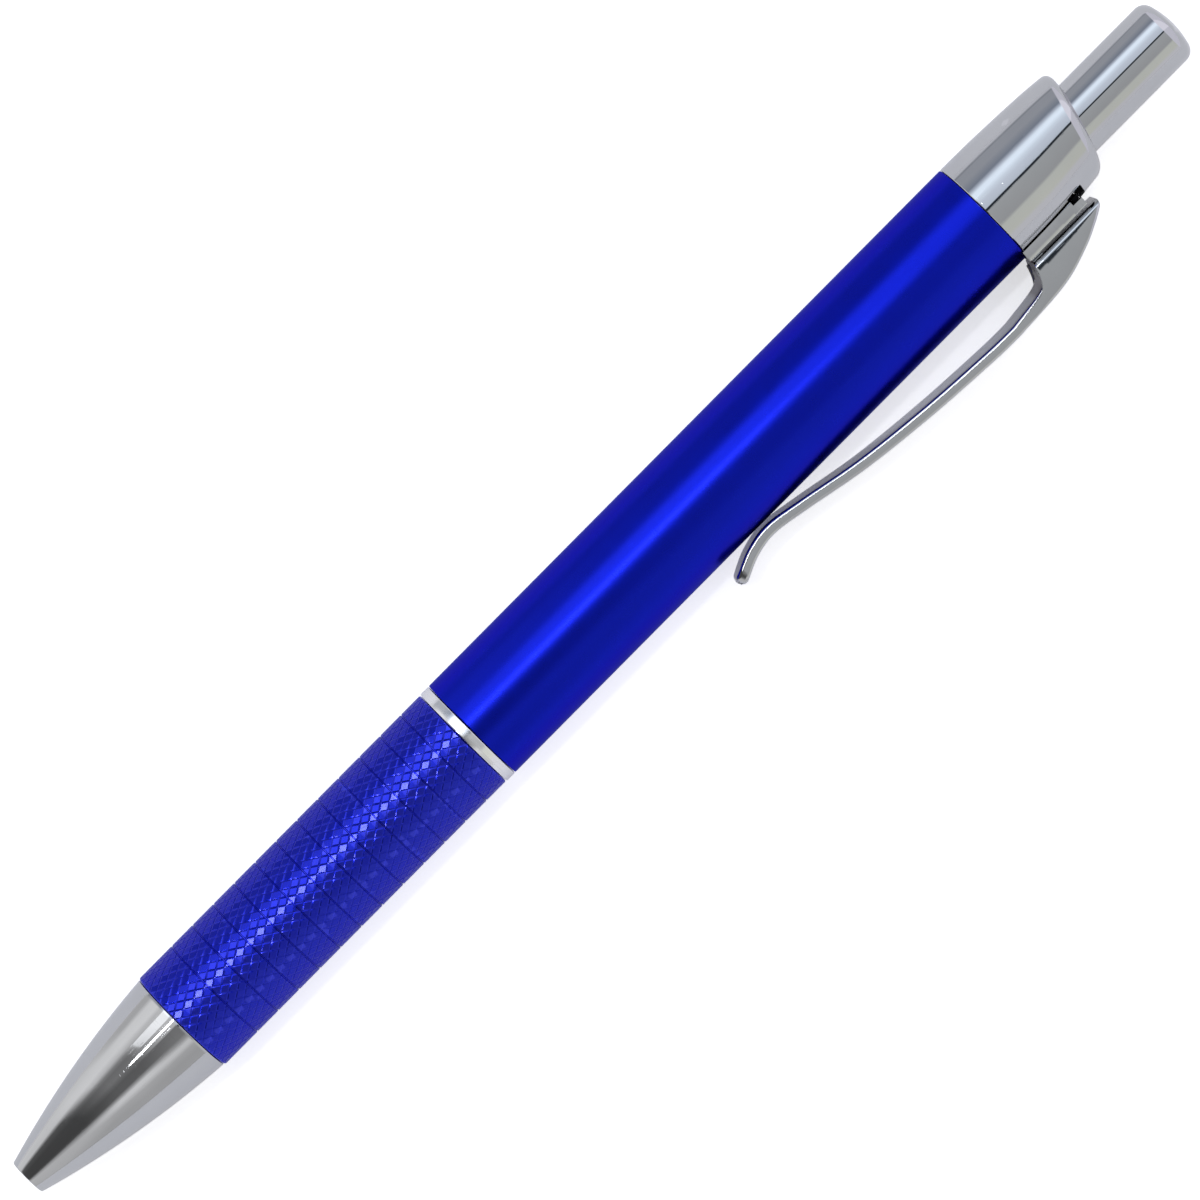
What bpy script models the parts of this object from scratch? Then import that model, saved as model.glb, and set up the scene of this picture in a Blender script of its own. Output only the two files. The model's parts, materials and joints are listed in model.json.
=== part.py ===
"""A retractable ballpoint pen, built piece by piece as it comes apart on a bench.

Every piece is modelled in the pen's own frame: Z runs along the pen from the flat end of the
nose cone (Z = 0) to the button, and the clip is on the +X side. One empty, pen_axis, then lays
the pen down on the table, Z = 0, where it rests on its barrel and on one edge of the clip.
"""

import math

import bmesh
import bpy
from mathutils import Matrix, Vector

MM = 0.001

# How finely the round pieces are cut
STEPS_CASING = 36
STEPS_INNER = 32
STEPS_POINT = 24
MERGE = 0.000001

# Lengths along the pen, from the flat end of the nose cone
NOSE_LENGTH = 18.8 * MM
GRIP_END = 53.12 * MM
RING_END = 54.2 * MM
BARREL_END = 116.57 * MM
COLLAR_END = 127.9 * MM
PEN_LENGTH = 139.7 * MM
SEAM = 0.07 * MM

# Radii of the casing
NOSE_TIP_RADIUS = 1.75 * MM
NOSE_BASE_RADIUS = 5.11 * MM
NOSE_BULGE = 2.0 * MM
GRIP_RADIUS = 5.22 * MM
BARREL_RADIUS = 5.25 * MM
BARREL_WALL = 0.75 * MM
SLEEVE_WALL = 0.65 * MM
BUTTON_RADIUS = 3.15 * MM
FIT = 0.1 * MM

# Bores of the nose cone: point hole, spring pocket, refill pocket
POINT_HOLE_RADIUS = 1.3 * MM
SPRING_SEAT = 5.5 * MM
SPRING_POCKET_RADIUS = 2.45 * MM
REFILL_POCKET_START = 15.5 * MM
REFILL_POCKET_RADIUS = 3.3 * MM
SPIGOT_RADIUS = 3.7 * MM
NOSE_SPIGOT_END = 26.0 * MM

# Grooves turned into the grip
GROOVES = 12
FIRST_GROOVE = 22.85 * MM
GROOVE_PITCH = 2.54 * MM
GROOVE_WIDTH = 0.2 * MM
GROOVE_DEPTH = 0.1 * MM

# Threaded coupling between the grip and the barrel
COUPLING_START = 43.0 * MM
COUPLING_END = 66.0 * MM
COUPLING_BORE = 3.15 * MM

# Clip collar: a turned cap whose end is cut at a slant, shorter on the clip's side
COLLAR_END_RADIUS = 4.62 * MM
COLLAR_TAPER_POWER = 2.3
COLLAR_EDGE = 1.0 * MM
COLLAR_HALF_SLANT = 1.3 * MM
COLLAR_SLANT_START = 121.0 * MM
COLLAR_SLANT_FULL = 126.5 * MM
COLLAR_BORE_RADIUS = 4.25 * MM
COLLAR_BORE_END = 122.15 * MM
COLLAR_HOLE_RADIUS = 3.35 * MM
SLOT_START = 122.35 * MM
SLOT_END = 124.05 * MM
SLOT_HALF_WIDTH = 3.2 * MM
SLOT_FLOOR = 3.8 * MM
SLOT_REACH = 6.0 * MM
COLLAR_HOLE_EDGE = 0.3 * MM

# Plug that joins the collar to the barrel and keeps the button in
PLUG_START = 110.0 * MM
PLUG_STEP = 116.47 * MM
PLUG_END = 121.95 * MM
PLUG_BORE = 3.9 * MM
PLUG_NECK = 3.3 * MM

# Clip: a bent arm, a wedge over its root, a foot on the collar and a tang in the slot
CLIP_THICKNESS = 1.05 * MM
CLIP_ARM = [(79.75, 7.3), (82.0, 6.34), (84.5, 5.97), (88.0, 6.5), (94.0, 7.62), (101.0, 8.4),
            (107.5, 8.83), (110.5, 8.93), (113.4, 8.88)]
CLIP_BACK = [(117.1, 9.05), (120.5, 8.12), (122.85, 7.08), (124.12, 6.35)]
CLIP_THROAT = [(115.2, 7.9), (116.15, 7.05), (116.5, 5.9)]
CLIP_NOSE_END = 124.27 * MM
CLIP_NOSE_FLOOR = 5.78 * MM
CLIP_GAP_START = 117.75 * MM
CLIP_FOOT_START = 116.5 * MM
CLIP_FOOT_END = 123.4 * MM
CLIP_FOOT_TOP = 5.5 * MM
CLIP_FOOT_ROOT = 4.3 * MM
CLIP_TAIL_HALF_WIDTH = 1.8 * MM
CLIP_ROOT_HALF_WIDTH = 3.0 * MM
CLIP_WIDTH_START = 80.0 * MM
CLIP_WIDTH_END = 117.0 * MM
CLIP_NOSE_HALF_WIDTH = 2.8 * MM
CLIP_NOSE_TAPER_START = 121.0 * MM
CLIP_TAIL_TAPER = 0.6
CLIP_EDGE = 0.2 * MM
CLIP_CLEARANCE = 0.12 * MM
SADDLE_REACH = 3.0 * MM
TANG_START = 122.65 * MM
TANG_END = 123.3 * MM
TANG_HALF_WIDTH = 2.3 * MM
TANG_TIP = 4.2 * MM
HINGE_RADIUS = 4.6 * MM
HINGE_HEIGHT = 122.95 * MM

# Button and the plunger inside it
BUTTON_START = 115.6 * MM
BUTTON_FLANGE_RADIUS = 3.7 * MM
BUTTON_FLANGE_LENGTH = 0.65 * MM
BUTTON_BORE = 2.2 * MM
BUTTON_BORE_END = 137.0 * MM
BUTTON_EDGE = 1.15 * MM
BUTTON_DOME = 0.4 * MM
BUTTON_FLAT_RADIUS = 0.8 * MM
PLUNGER_CROWN = 106.35 * MM
PLUNGER_RIB_START = 106.9 * MM
PLUNGER_RIB_END = 109.0 * MM
PLUNGER_RIB_WIDTH = 1.5 * MM
PLUNGER_STEM_START = 113.0 * MM
PLUNGER_END = 131.0 * MM
PLUNGER_BORE = 1.3 * MM

# Cam sleeve and rotor: four ribs each, and eight teeth that turn the rotor an eighth of a turn
CAM_RIBS = 4
CAM_TEETH = 8
CAM_SLEEVE_START = 92.5 * MM
CAM_SLEEVE_END = 109.2 * MM
CAM_BORE = 3.2 * MM
CAM_RIB_START = 101.5 * MM
CAM_RIB_RADIUS = 2.45 * MM
CAM_RIB_WIDTH = 0.8 * MM
CAM_RIB_SLOPE = 0.7
CAM_HUB_RADIUS = 2.3 * MM
CAM_RIB_TIP = 3.05 * MM
CAM_RIB_ENGAGED = 2.7 * MM
ROTOR_START = 99.7 * MM
ROTOR_RIB_START = 101.9 * MM
ROTOR_CROWN = 105.6 * MM
ROTOR_BORE = 1.3 * MM
ROTOR_BORE_DEPTH = 2.0 * MM
TOOTH_HEIGHT = 0.6 * MM

# Refill, of the common 98 mm length and 6 mm body
BALL_RADIUS = 0.5 * MM
BALL_CENTRE = 1.8 * MM
CONE_MOUTH = 1.62 * MM
CONE_END = 5.5 * MM
POINT_RADIUS = 1.15 * MM
POINT_SHOULDER = 11.6 * MM
POINT_STEM_RADIUS = 0.75 * MM
POINT_STEM_END = 15.0 * MM
INK_CHANNEL_RADIUS = 0.3 * MM
HOLDER_START = 11.9 * MM
HOLDER_RADIUS = 1.6 * MM
HOLDER_SHOULDER = 21.9 * MM
HOLDER_FLANGE = 23.4 * MM
HOLDER_FLANGE_END = 24.1 * MM
HOLDER_END = 27.0 * MM
TUBE_START = 24.2 * MM
TUBE_END = 94.5 * MM
TUBE_RADIUS = 2.95 * MM
TUBE_WALL = 0.35 * MM
INK_START = 27.2 * MM
INK_END = 76.0 * MM
FOLLOWER_END = 81.0 * MM
CROWN_PLUG_START = 91.5 * MM
CROWN_PLUG_RIM = 97.4 * MM
CROWN_PLUG_END = 99.4 * MM
CROWN_PLUG_STUB = 2.0 * MM
CROWN_SLOT_WIDTH = 0.8 * MM
CROWN_SLOT_DEPTH = 1.2 * MM

# Return spring
SPRING_START = 5.85 * MM
SPRING_END = 21.6 * MM
SPRING_WIRE_RADIUS = 0.2 * MM
SPRING_MEAN_RADIUS = 2.0 * MM
SPRING_TURNS = 9
SPRING_END_TURNS = 1.5
SPRING_END_PITCH = 0.46 * MM
SPRING_POINTS_PER_TURN = 10


# ---------------------------------------------------------------- scene and materials

def clear_scene():
    """Remove whatever the file holds when the script starts."""
    for old in list(bpy.data.objects):
        bpy.data.objects.remove(old, do_unlink=True)


def new_collection(name):
    """Make a collection in the scene."""
    made = bpy.data.collections.new(name)
    bpy.context.scene.collection.children.link(made)
    return made


def principled(name, colour, roughness, metallic):
    """A material with one Principled BSDF."""
    made = bpy.data.materials.new(name)
    made.use_nodes = True
    shader = made.node_tree.nodes["Principled BSDF"]
    shader.inputs["Base Color"].default_value = (*colour, 1.0)
    shader.inputs["Roughness"].default_value = roughness
    shader.inputs["Metallic"].default_value = metallic
    made.diffuse_color = (*colour, 1.0)
    return made


def chrome():
    return principled("chrome_plate", (0.78, 0.78, 0.8), 0.06, 1.0)


def blue_anodised():
    return principled("blue_anodised", (0.004, 0.012, 0.62), 0.32, 1.0)


def bright_ring():
    return principled("bright_aluminium", (0.88, 0.88, 0.9), 0.12, 1.0)


def black_plastic():
    return principled("black_plastic", (0.02, 0.02, 0.022), 0.5, 0.0)


def white_plastic():
    return principled("white_acetal", (0.85, 0.85, 0.82), 0.4, 0.0)


def grey_plastic():
    return principled("grey_acetal", (0.35, 0.36, 0.38), 0.4, 0.0)


def brass():
    return principled("brass", (0.8, 0.6, 0.25), 0.25, 1.0)


def refill_steel():
    return principled("refill_steel", (0.62, 0.62, 0.6), 0.25, 1.0)


def nickel_silver():
    return principled("nickel_silver", (0.7, 0.68, 0.62), 0.2, 1.0)


def carbide():
    return principled("carbide", (0.32, 0.32, 0.34), 0.15, 1.0)


def spring_steel():
    return principled("spring_steel", (0.55, 0.55, 0.56), 0.25, 1.0)


def ink():
    return principled("blue_ink", (0.004, 0.006, 0.12), 0.2, 0.0)


def follower_grease():
    return principled("follower_grease", (0.75, 0.7, 0.5), 0.3, 0.0)


# ---------------------------------------------------------------- modelling helpers

def add_object(name, mesh, material, collection):
    """Link a mesh as a named object with one material."""
    made = bpy.data.objects.new(name, mesh)
    collection.objects.link(made)
    if material is not None:
        mesh.materials.append(material)
    return made


def mesh_from(name, shape):
    """Turn a bmesh into a mesh and free it."""
    mesh = bpy.data.meshes.new(name)
    shape.to_mesh(mesh)
    shape.free()
    return mesh


def arc(centre, radius, first, last, pieces):
    """Points on an arc in the profile plane, angles in degrees from +X towards +Z."""
    angles = [math.radians(first + (last - first) * i / pieces) for i in range(pieces + 1)]
    return [(centre[0] + radius * math.cos(a), centre[1] + radius * math.sin(a)) for a in angles]


def turned(name, points, material, collection, steps=STEPS_CASING, on_axis=False):
    """A turned piece. The profile runs down the outer side; on_axis ends on the pen's axis."""
    shape = bmesh.new()
    corners = [shape.verts.new((r, 0.0, z)) for r, z in points]
    for first, second in zip(corners, corners[1:]):
        shape.edges.new((first, second))
    if not on_axis:
        shape.edges.new((corners[-1], corners[0]))
    made = add_object(name, mesh_from(name, shape), material, collection)
    screw = made.modifiers.new("turn", "SCREW")
    screw.angle = 2 * math.pi
    screw.steps = steps
    screw.render_steps = steps
    screw.use_merge_vertices = True
    screw.merge_threshold = MERGE
    return made


def evaluated_mesh(made):
    """The mesh that an object's modifiers give."""
    graph = bpy.context.evaluated_depsgraph_get()
    graph.update()
    return bpy.data.meshes.new_from_object(made.evaluated_get(graph))


def bake(made):
    """Apply an object's modifiers, so that its points can be moved one by one."""
    mesh = evaluated_mesh(made)
    made.modifiers.clear()
    made.data = mesh
    return made


def shade(made, angle=35.0):
    """Smooth shading with sharp edges kept."""
    made.data.shade_smooth()
    made.data.set_sharp_from_angle(angle=math.radians(angle))
    return made


def boolean(made, other, operation):
    """Add an exact Boolean of one object with another."""
    change = made.modifiers.new(operation.lower(), "BOOLEAN")
    change.operation = operation
    change.solver = "EXACT"
    change.object = other
    return change


def block(name, size, centre, material, collection):
    """A box from its size and centre."""
    shape = bmesh.new()
    bmesh.ops.create_cube(shape, size=1.0)
    bmesh.ops.scale(shape, vec=Vector(size), verts=shape.verts)
    bmesh.ops.translate(shape, vec=Vector(centre), verts=shape.verts)
    return add_object(name, mesh_from(name, shape), material, collection)


def as_cutter(made):
    """Show an object as a wire cutter that the build leaves out."""
    made.hide_render = True
    made.display_type = "WIRE"
    return made


def through_points(points, spans):
    """A smooth curve through points, cut into equal spans between each two of them."""
    padded = [Vector(points[0]) * 2 - Vector(points[1])]
    padded += [Vector(p) for p in points]
    padded += [Vector(points[-1]) * 2 - Vector(points[-2])]
    made = []
    for before, start, end, after in zip(padded, padded[1:], padded[2:], padded[3:]):
        for i in range(spans):
            t = i / spans
            bend = (2 * before - 5 * start + 4 * end - after) * t * t
            bend += (3 * start - before - 3 * end + after) * t ** 3
            made.append(start + ((end - before) * t + bend) / 2)
    made.append(padded[-2])
    return made


def smooth_step(value):
    """0 below 0, 1 above 1, and a smooth rise between."""
    value = min(max(value, 0.0), 1.0)
    return value * value * (3 - 2 * value)


# ---------------------------------------------------------------- casing

def nose_radius(height):
    """Outer radius of the nose cone, a taper that swells by NOSE_BULGE."""
    along = height / NOSE_LENGTH
    swell = NOSE_BULGE * along * (1 - along)
    return NOSE_TIP_RADIUS + (NOSE_BASE_RADIUS - NOSE_TIP_RADIUS) * along + swell


def nose_cone(parts, material):
    """Tapered nose with the point hole, a pocket for the spring and a threaded spigot."""
    tip_edge = 0.15 * MM
    outer_rings = 9
    points = [(SPIGOT_RADIUS, NOSE_SPIGOT_END), (SPIGOT_RADIUS, NOSE_LENGTH)]
    for i in range(outer_rings, 0, -1):
        height = tip_edge + (NOSE_LENGTH - tip_edge) * i / outer_rings
        points.append((nose_radius(height), height))
    points.append((nose_radius(tip_edge), tip_edge))
    points.append((NOSE_TIP_RADIUS - tip_edge, 0.0))
    points.append((POINT_HOLE_RADIUS, 0.0))
    points.append((POINT_HOLE_RADIUS, SPRING_SEAT))
    points.append((SPRING_POCKET_RADIUS, SPRING_SEAT))
    points.append((SPRING_POCKET_RADIUS, REFILL_POCKET_START))
    points.append((REFILL_POCKET_RADIUS, REFILL_POCKET_START))
    points.append((REFILL_POCKET_RADIUS, NOSE_SPIGOT_END))
    return shade(turned("nose_cone", points, material, parts))


def grip_sleeve(parts, material):
    """Metal grip with twelve turned grooves."""
    start = NOSE_LENGTH + SEAM
    edge = 0.1 * MM
    inner = GRIP_RADIUS - SLEEVE_WALL
    points = [(inner, GRIP_END), (GRIP_RADIUS - edge, GRIP_END), (GRIP_RADIUS, GRIP_END - edge)]
    for i in reversed(range(GROOVES)):
        middle = FIRST_GROOVE + GROOVE_PITCH * i
        points.append((GRIP_RADIUS, middle + GROOVE_WIDTH / 2))
        points.append((GRIP_RADIUS - GROOVE_DEPTH, middle))
        points.append((GRIP_RADIUS, middle - GROOVE_WIDTH / 2))
    points += [(GRIP_RADIUS, start + edge), (GRIP_RADIUS - edge, start), (inner, start)]
    return shade(turned("grip_sleeve", points, material, parts))


def tube(name, outer, inner, start, end, material, parts, steps=STEPS_CASING, edge=0.0):
    """A plain tube, with its two outer edges broken by edge."""
    points = [(outer, end), (outer, start)]
    if edge > 0:
        points = [(outer - edge, end), (outer, end - edge), (outer, start + edge),
                  (outer - edge, start)]
    points += [(inner, start), (inner, end)]
    return shade(turned(name, points, material, parts, steps))


def grip_liner(parts, material):
    """Plastic tube inside the grip, threaded for the nose cone and the coupling."""
    outer = GRIP_RADIUS - SLEEVE_WALL - FIT
    return tube("grip_liner", outer, SPIGOT_RADIUS + FIT, NOSE_LENGTH + FIT, GRIP_END, material,
                parts)


def trim_ring(parts, material):
    """Bright ring between the grip and the barrel."""
    return tube("trim_ring", BARREL_RADIUS, SPIGOT_RADIUS + FIT, GRIP_END + SEAM,
                RING_END - SEAM / 2, material, parts, edge=0.08 * MM)


def barrel_coupling(parts, material):
    """Stepped and threaded insert that screws the barrel onto the grip."""
    body = BARREL_RADIUS - BARREL_WALL - FIT
    points = [(body, COUPLING_END), (body, RING_END + SEAM), (SPIGOT_RADIUS, RING_END + SEAM),
              (SPIGOT_RADIUS, COUPLING_START), (COUPLING_BORE, COUPLING_START),
              (COUPLING_BORE, COUPLING_END)]
    return shade(turned("barrel_coupling", points, material, parts))


def barrel_tube(parts, material):
    """Upper barrel, a thin tube."""
    return tube("barrel_tube", BARREL_RADIUS, BARREL_RADIUS - BARREL_WALL, RING_END + SEAM / 2,
                BARREL_END, material, parts, edge=0.08 * MM)


def collar_plug(parts, material):
    """Plug in the barrel's end. Its neck guides the button and stops the button's flange."""
    body = BARREL_RADIUS - BARREL_WALL - FIT
    spigot = COLLAR_BORE_RADIUS - FIT
    points = [(spigot, PLUG_END), (spigot, PLUG_STEP), (body, PLUG_STEP), (body, PLUG_START),
              (PLUG_BORE, PLUG_START), (PLUG_BORE, PLUG_STEP), (PLUG_NECK, PLUG_STEP),
              (PLUG_NECK, PLUG_END)]
    return shade(turned("collar_plug", points, material, parts))


def collar_radius(height):
    """Outer radius of the clip collar, which curves in towards its end."""
    along = (height - BARREL_END) / (COLLAR_END - BARREL_END)
    return BARREL_RADIUS - (BARREL_RADIUS - COLLAR_END_RADIUS) * max(along, 0.0) ** COLLAR_TAPER_POWER


def slant(made):
    """Shift a collar's far end along the pen, less on the clip's side, so that it is cut at a slant."""
    for point in made.data.vertices:
        share = (point.co.z - COLLAR_SLANT_START) / (COLLAR_SLANT_FULL - COLLAR_SLANT_START)
        shift = COLLAR_HALF_SLANT * smooth_step(share)
        point.co.z -= shift * point.co.x / COLLAR_END_RADIUS
    return made


def clip_collar(parts, cutters, material):
    """Chrome cap on the barrel's end, with the button's hole and the slot for the clip's tang."""
    start = BARREL_END + SEAM
    rings = 9
    round_steps = 3
    last = COLLAR_END - COLLAR_EDGE
    rim = collar_radius(last) - COLLAR_EDGE
    points = [(COLLAR_HOLE_RADIUS, COLLAR_END - COLLAR_HOLE_EDGE),
              (COLLAR_HOLE_RADIUS + COLLAR_HOLE_EDGE, COLLAR_END)]
    points += arc((rim, last), COLLAR_EDGE, 90, 0, round_steps)
    for i in range(rings - 1, -1, -1):
        height = start + (last - start) * i / rings
        points.append((collar_radius(height), height))
    points.append((COLLAR_BORE_RADIUS, start))
    points.append((COLLAR_BORE_RADIUS, COLLAR_BORE_END))
    points.append((COLLAR_HOLE_RADIUS, COLLAR_BORE_END))
    made = slant(bake(turned("clip_collar", points, material, parts)))
    size = (SLOT_REACH - SLOT_FLOOR, 2 * SLOT_HALF_WIDTH, SLOT_END - SLOT_START)
    centre = ((SLOT_REACH + SLOT_FLOOR) / 2, 0.0, (SLOT_START + SLOT_END) / 2)
    slot = as_cutter(block("slot_cutter", size, centre, None, cutters))
    boolean(made, slot, "DIFFERENCE")
    return shade(made)


# ---------------------------------------------------------------- clip

def millimetres(points):
    """Points given in millimetres as (height, radius) vectors in metres."""
    return [Vector((height * MM, radius * MM)) for height, radius in points]


def clip_outline():
    """Side outline of the clip as (height, radius), once around."""
    spans = 3
    middle = through_points(millimetres(CLIP_ARM), spans)
    outer = []
    inner = []
    for i, point in enumerate(middle[:-2]):
        ahead = middle[i + 1] - middle[max(i - 1, 0)]
        across = Vector((-ahead.y, ahead.x)).normalized() * CLIP_THICKNESS / 2
        outer.append(point + across)
        inner.append(point - across)
    along = (middle[0] - middle[1]).normalized()
    tail = [middle[0] + along * CLIP_THICKNESS / 2]
    back = through_points([outer[-1]] + millimetres(CLIP_BACK), spans)[1:]
    throat = through_points([inner[-1]] + millimetres(CLIP_THROAT), spans)[1:]
    nose = [Vector((CLIP_NOSE_END, CLIP_NOSE_FLOOR + CLIP_EDGE)),
            Vector((CLIP_NOSE_END - CLIP_EDGE, CLIP_NOSE_FLOOR))]
    gap = [Vector((CLIP_GAP_START, CLIP_NOSE_FLOOR)), Vector((CLIP_GAP_START, CLIP_FOOT_TOP))]
    foot = [Vector((CLIP_FOOT_END, CLIP_FOOT_TOP)), Vector((CLIP_FOOT_END, CLIP_FOOT_ROOT)),
            Vector((CLIP_FOOT_START, CLIP_FOOT_ROOT))]
    return tail + outer + back + nose + gap + foot + list(reversed(throat)) + list(reversed(inner))


def clip_half_width(height, radius):
    """Half the clip's width: it widens from tail to root and narrows at the wedge's nose."""
    along = (height - CLIP_WIDTH_START) / (CLIP_WIDTH_END - CLIP_WIDTH_START)
    along = min(max(along, 0.0), 1.0)
    width = CLIP_TAIL_HALF_WIDTH + (CLIP_ROOT_HALF_WIDTH - CLIP_TAIL_HALF_WIDTH) * along
    if height > CLIP_NOSE_TAPER_START and radius > CLIP_FOOT_TOP + CLIP_EDGE / 2:
        share = (height - CLIP_NOSE_TAPER_START) / (CLIP_NOSE_END - CLIP_NOSE_TAPER_START)
        width -= (CLIP_ROOT_HALF_WIDTH - CLIP_NOSE_HALF_WIDTH) * share ** 2
    if height < CLIP_WIDTH_START:
        width -= (CLIP_WIDTH_START - height) * CLIP_TAIL_TAPER
    return width


def clip_blank(parts, material):
    """The clip's outline as a filled 2D curve, made a mesh in the clip's own frame."""
    curve = bpy.data.curves.new("clip_outline", "CURVE")
    curve.dimensions = "2D"
    curve.fill_mode = "BOTH"
    curve.extrude = CLIP_ROOT_HALF_WIDTH - CLIP_EDGE
    curve.bevel_depth = CLIP_EDGE
    curve.bevel_resolution = 1
    curve.offset = -CLIP_EDGE
    outline = clip_outline()
    spline = curve.splines.new("POLY")
    spline.points.add(len(outline) - 1)
    for point, place in zip(spline.points, outline):
        point.co = (place.x, place.y, 0.0, 1.0)
    spline.use_cyclic_u = True
    guide = bpy.data.objects.new("clip_outline", curve)
    parts.objects.link(guide)
    mesh = evaluated_mesh(guide)
    bpy.data.objects.remove(guide, do_unlink=True)
    shape = bmesh.new()
    shape.from_mesh(mesh)
    bmesh.ops.remove_doubles(shape, verts=shape.verts, dist=MERGE)
    for point in shape.verts:
        height, radius, side = point.co
        inset = CLIP_ROOT_HALF_WIDTH - abs(side)
        width = math.copysign(clip_half_width(height, radius) - inset, side)
        point.co = (radius - HINGE_RADIUS, width, height - HINGE_HEIGHT)
    bmesh.ops.recalc_face_normals(shape, faces=shape.faces)
    return add_object("clip", mesh_from("clip", shape), material, parts)


def clip(parts, cutters, material):
    """Spring clip: the arm, the wedge, the foot shaped to the collar and the tang."""
    made = clip_blank(parts, material)
    made.location = (HINGE_RADIUS, 0.0, HINGE_HEIGHT)
    rings = 6
    bottom = BARREL_END - SADDLE_REACH
    points = [(0.0, COLLAR_END)]
    for i in range(rings, -1, -1):
        height = BARREL_END + (COLLAR_END - BARREL_END) * i / rings
        points.append((collar_radius(height) + CLIP_CLEARANCE, height))
    points += [(BARREL_RADIUS + CLIP_CLEARANCE, bottom), (0.0, bottom)]
    saddle = as_cutter(turned("saddle_cutter", points, None, cutters, on_axis=True))
    boolean(made, saddle, "DIFFERENCE")
    top = (CLIP_FOOT_TOP + collar_radius(TANG_START)) / 2
    size = (top - TANG_TIP, 2 * TANG_HALF_WIDTH, TANG_END - TANG_START)
    centre = ((top + TANG_TIP) / 2, 0.0, (TANG_START + TANG_END) / 2)
    tang = as_cutter(block("tang_tool", size, centre, None, cutters))
    boolean(made, tang, "UNION")
    return shade(made)


# ---------------------------------------------------------------- button and cam

def push_button(parts, material):
    """Hollow button with a rounded, slightly domed end and a flange that keeps it in."""
    edge_top = PEN_LENGTH - BUTTON_DOME
    rim = BUTTON_RADIUS - BUTTON_EDGE
    points = [(0.0, PEN_LENGTH), (BUTTON_FLAT_RADIUS, PEN_LENGTH)]
    points += arc((rim, edge_top - BUTTON_EDGE), BUTTON_EDGE, 80, 0, 4)
    neck = BUTTON_START + BUTTON_FLANGE_LENGTH
    points += [(BUTTON_RADIUS, neck), (BUTTON_FLANGE_RADIUS, neck),
               (BUTTON_FLANGE_RADIUS, BUTTON_START), (BUTTON_BORE, BUTTON_START),
               (BUTTON_BORE, BUTTON_BORE_END), (0.0, BUTTON_BORE_END)]
    return shade(turned("push_button", points, material, parts, STEPS_INNER, on_axis=True))


def tooth_wave(point):
    """0 to 1 and back again eight times round the axis."""
    turn = math.atan2(point.y, point.x) / (2 * math.pi) * CAM_TEETH
    return 1 - abs(2 * (turn - math.floor(turn)) - 1)


def cut_teeth(made, height, inner, direction):
    """Raise the points of a crown, which lie at one height outside a radius, into teeth."""
    for point in made.data.vertices:
        radius = math.hypot(point.co.x, point.co.y)
        if abs(point.co.z - height) < MERGE and radius > inner + MERGE:
            point.co.z += direction * TOOTH_HEIGHT * tooth_wave(point.co)
    return made


def rib_tool(name, turn, low, high, inner, outer, width, slope_low, slope_high, cutters):
    """One straight rib beside the axis, its two ends cut at a slope, turned to its place."""
    made = block(name, (outer - inner, width, high - low), ((outer + inner) / 2, 0.0, (high + low) / 2),
                 None, cutters)
    for point in made.data.vertices:
        slope = slope_high if point.co.z > (high + low) / 2 else slope_low
        point.co.z += slope * point.co.y
    made.data.transform(Matrix.Rotation(turn, 4, "Z"))
    return as_cutter(made)


def add_ribs(made, first_turn, low, high, inner, outer, width, slope_low, slope_high, cutters):
    """Join four ribs, a quarter of a turn apart, to a turned piece."""
    for i in range(CAM_RIBS):
        turn = first_turn + 2 * math.pi * i / CAM_RIBS
        name = f"{made.name}_rib_{i + 1}"
        rib = rib_tool(name, turn, low, high, inner, outer, width, slope_low, slope_high, cutters)
        boolean(made, rib, "UNION")
    return made


def cam_sleeve(parts, cutters, material):
    """Fixed sleeve of the click mechanism. Its four ribs stop and release the rotor."""
    outer = BARREL_RADIUS - BARREL_WALL - FIT
    made = tube("cam_sleeve", outer, CAM_BORE, CAM_SLEEVE_START, CAM_SLEEVE_END, material, parts,
                STEPS_INNER)
    embed = 0.4 * MM
    eighth = math.pi / CAM_RIBS
    back = CAM_SLEEVE_END - 0.2 * MM
    return add_ribs(made, eighth, CAM_RIB_START, back, CAM_RIB_RADIUS, CAM_BORE + embed,
                    CAM_RIB_WIDTH, CAM_RIB_SLOPE, 0.0, cutters)


def rotor_cam(parts, cutters, material):
    """Rotor between the refill and the plunger, which turns a step at each click."""
    teeth_inner = 1.2 * MM
    points = [(0.0, ROTOR_CROWN), (teeth_inner, ROTOR_CROWN), (CAM_HUB_RADIUS, ROTOR_CROWN),
              (CAM_HUB_RADIUS, ROTOR_START), (ROTOR_BORE, ROTOR_START),
              (ROTOR_BORE, ROTOR_START + ROTOR_BORE_DEPTH), (0.0, ROTOR_START + ROTOR_BORE_DEPTH)]
    made = bake(turned("rotor_cam", points, material, parts, STEPS_INNER, on_axis=True))
    cut_teeth(made, ROTOR_CROWN, teeth_inner, 1.0)
    shade(made)
    embed = 0.5 * MM
    back = CAM_RIB_START + CAM_RIB_ENGAGED
    return add_ribs(made, 0.0, ROTOR_RIB_START, back, CAM_HUB_RADIUS - embed, CAM_RIB_TIP,
                    CAM_RIB_WIDTH, 0.0, CAM_RIB_SLOPE, cutters)


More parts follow.
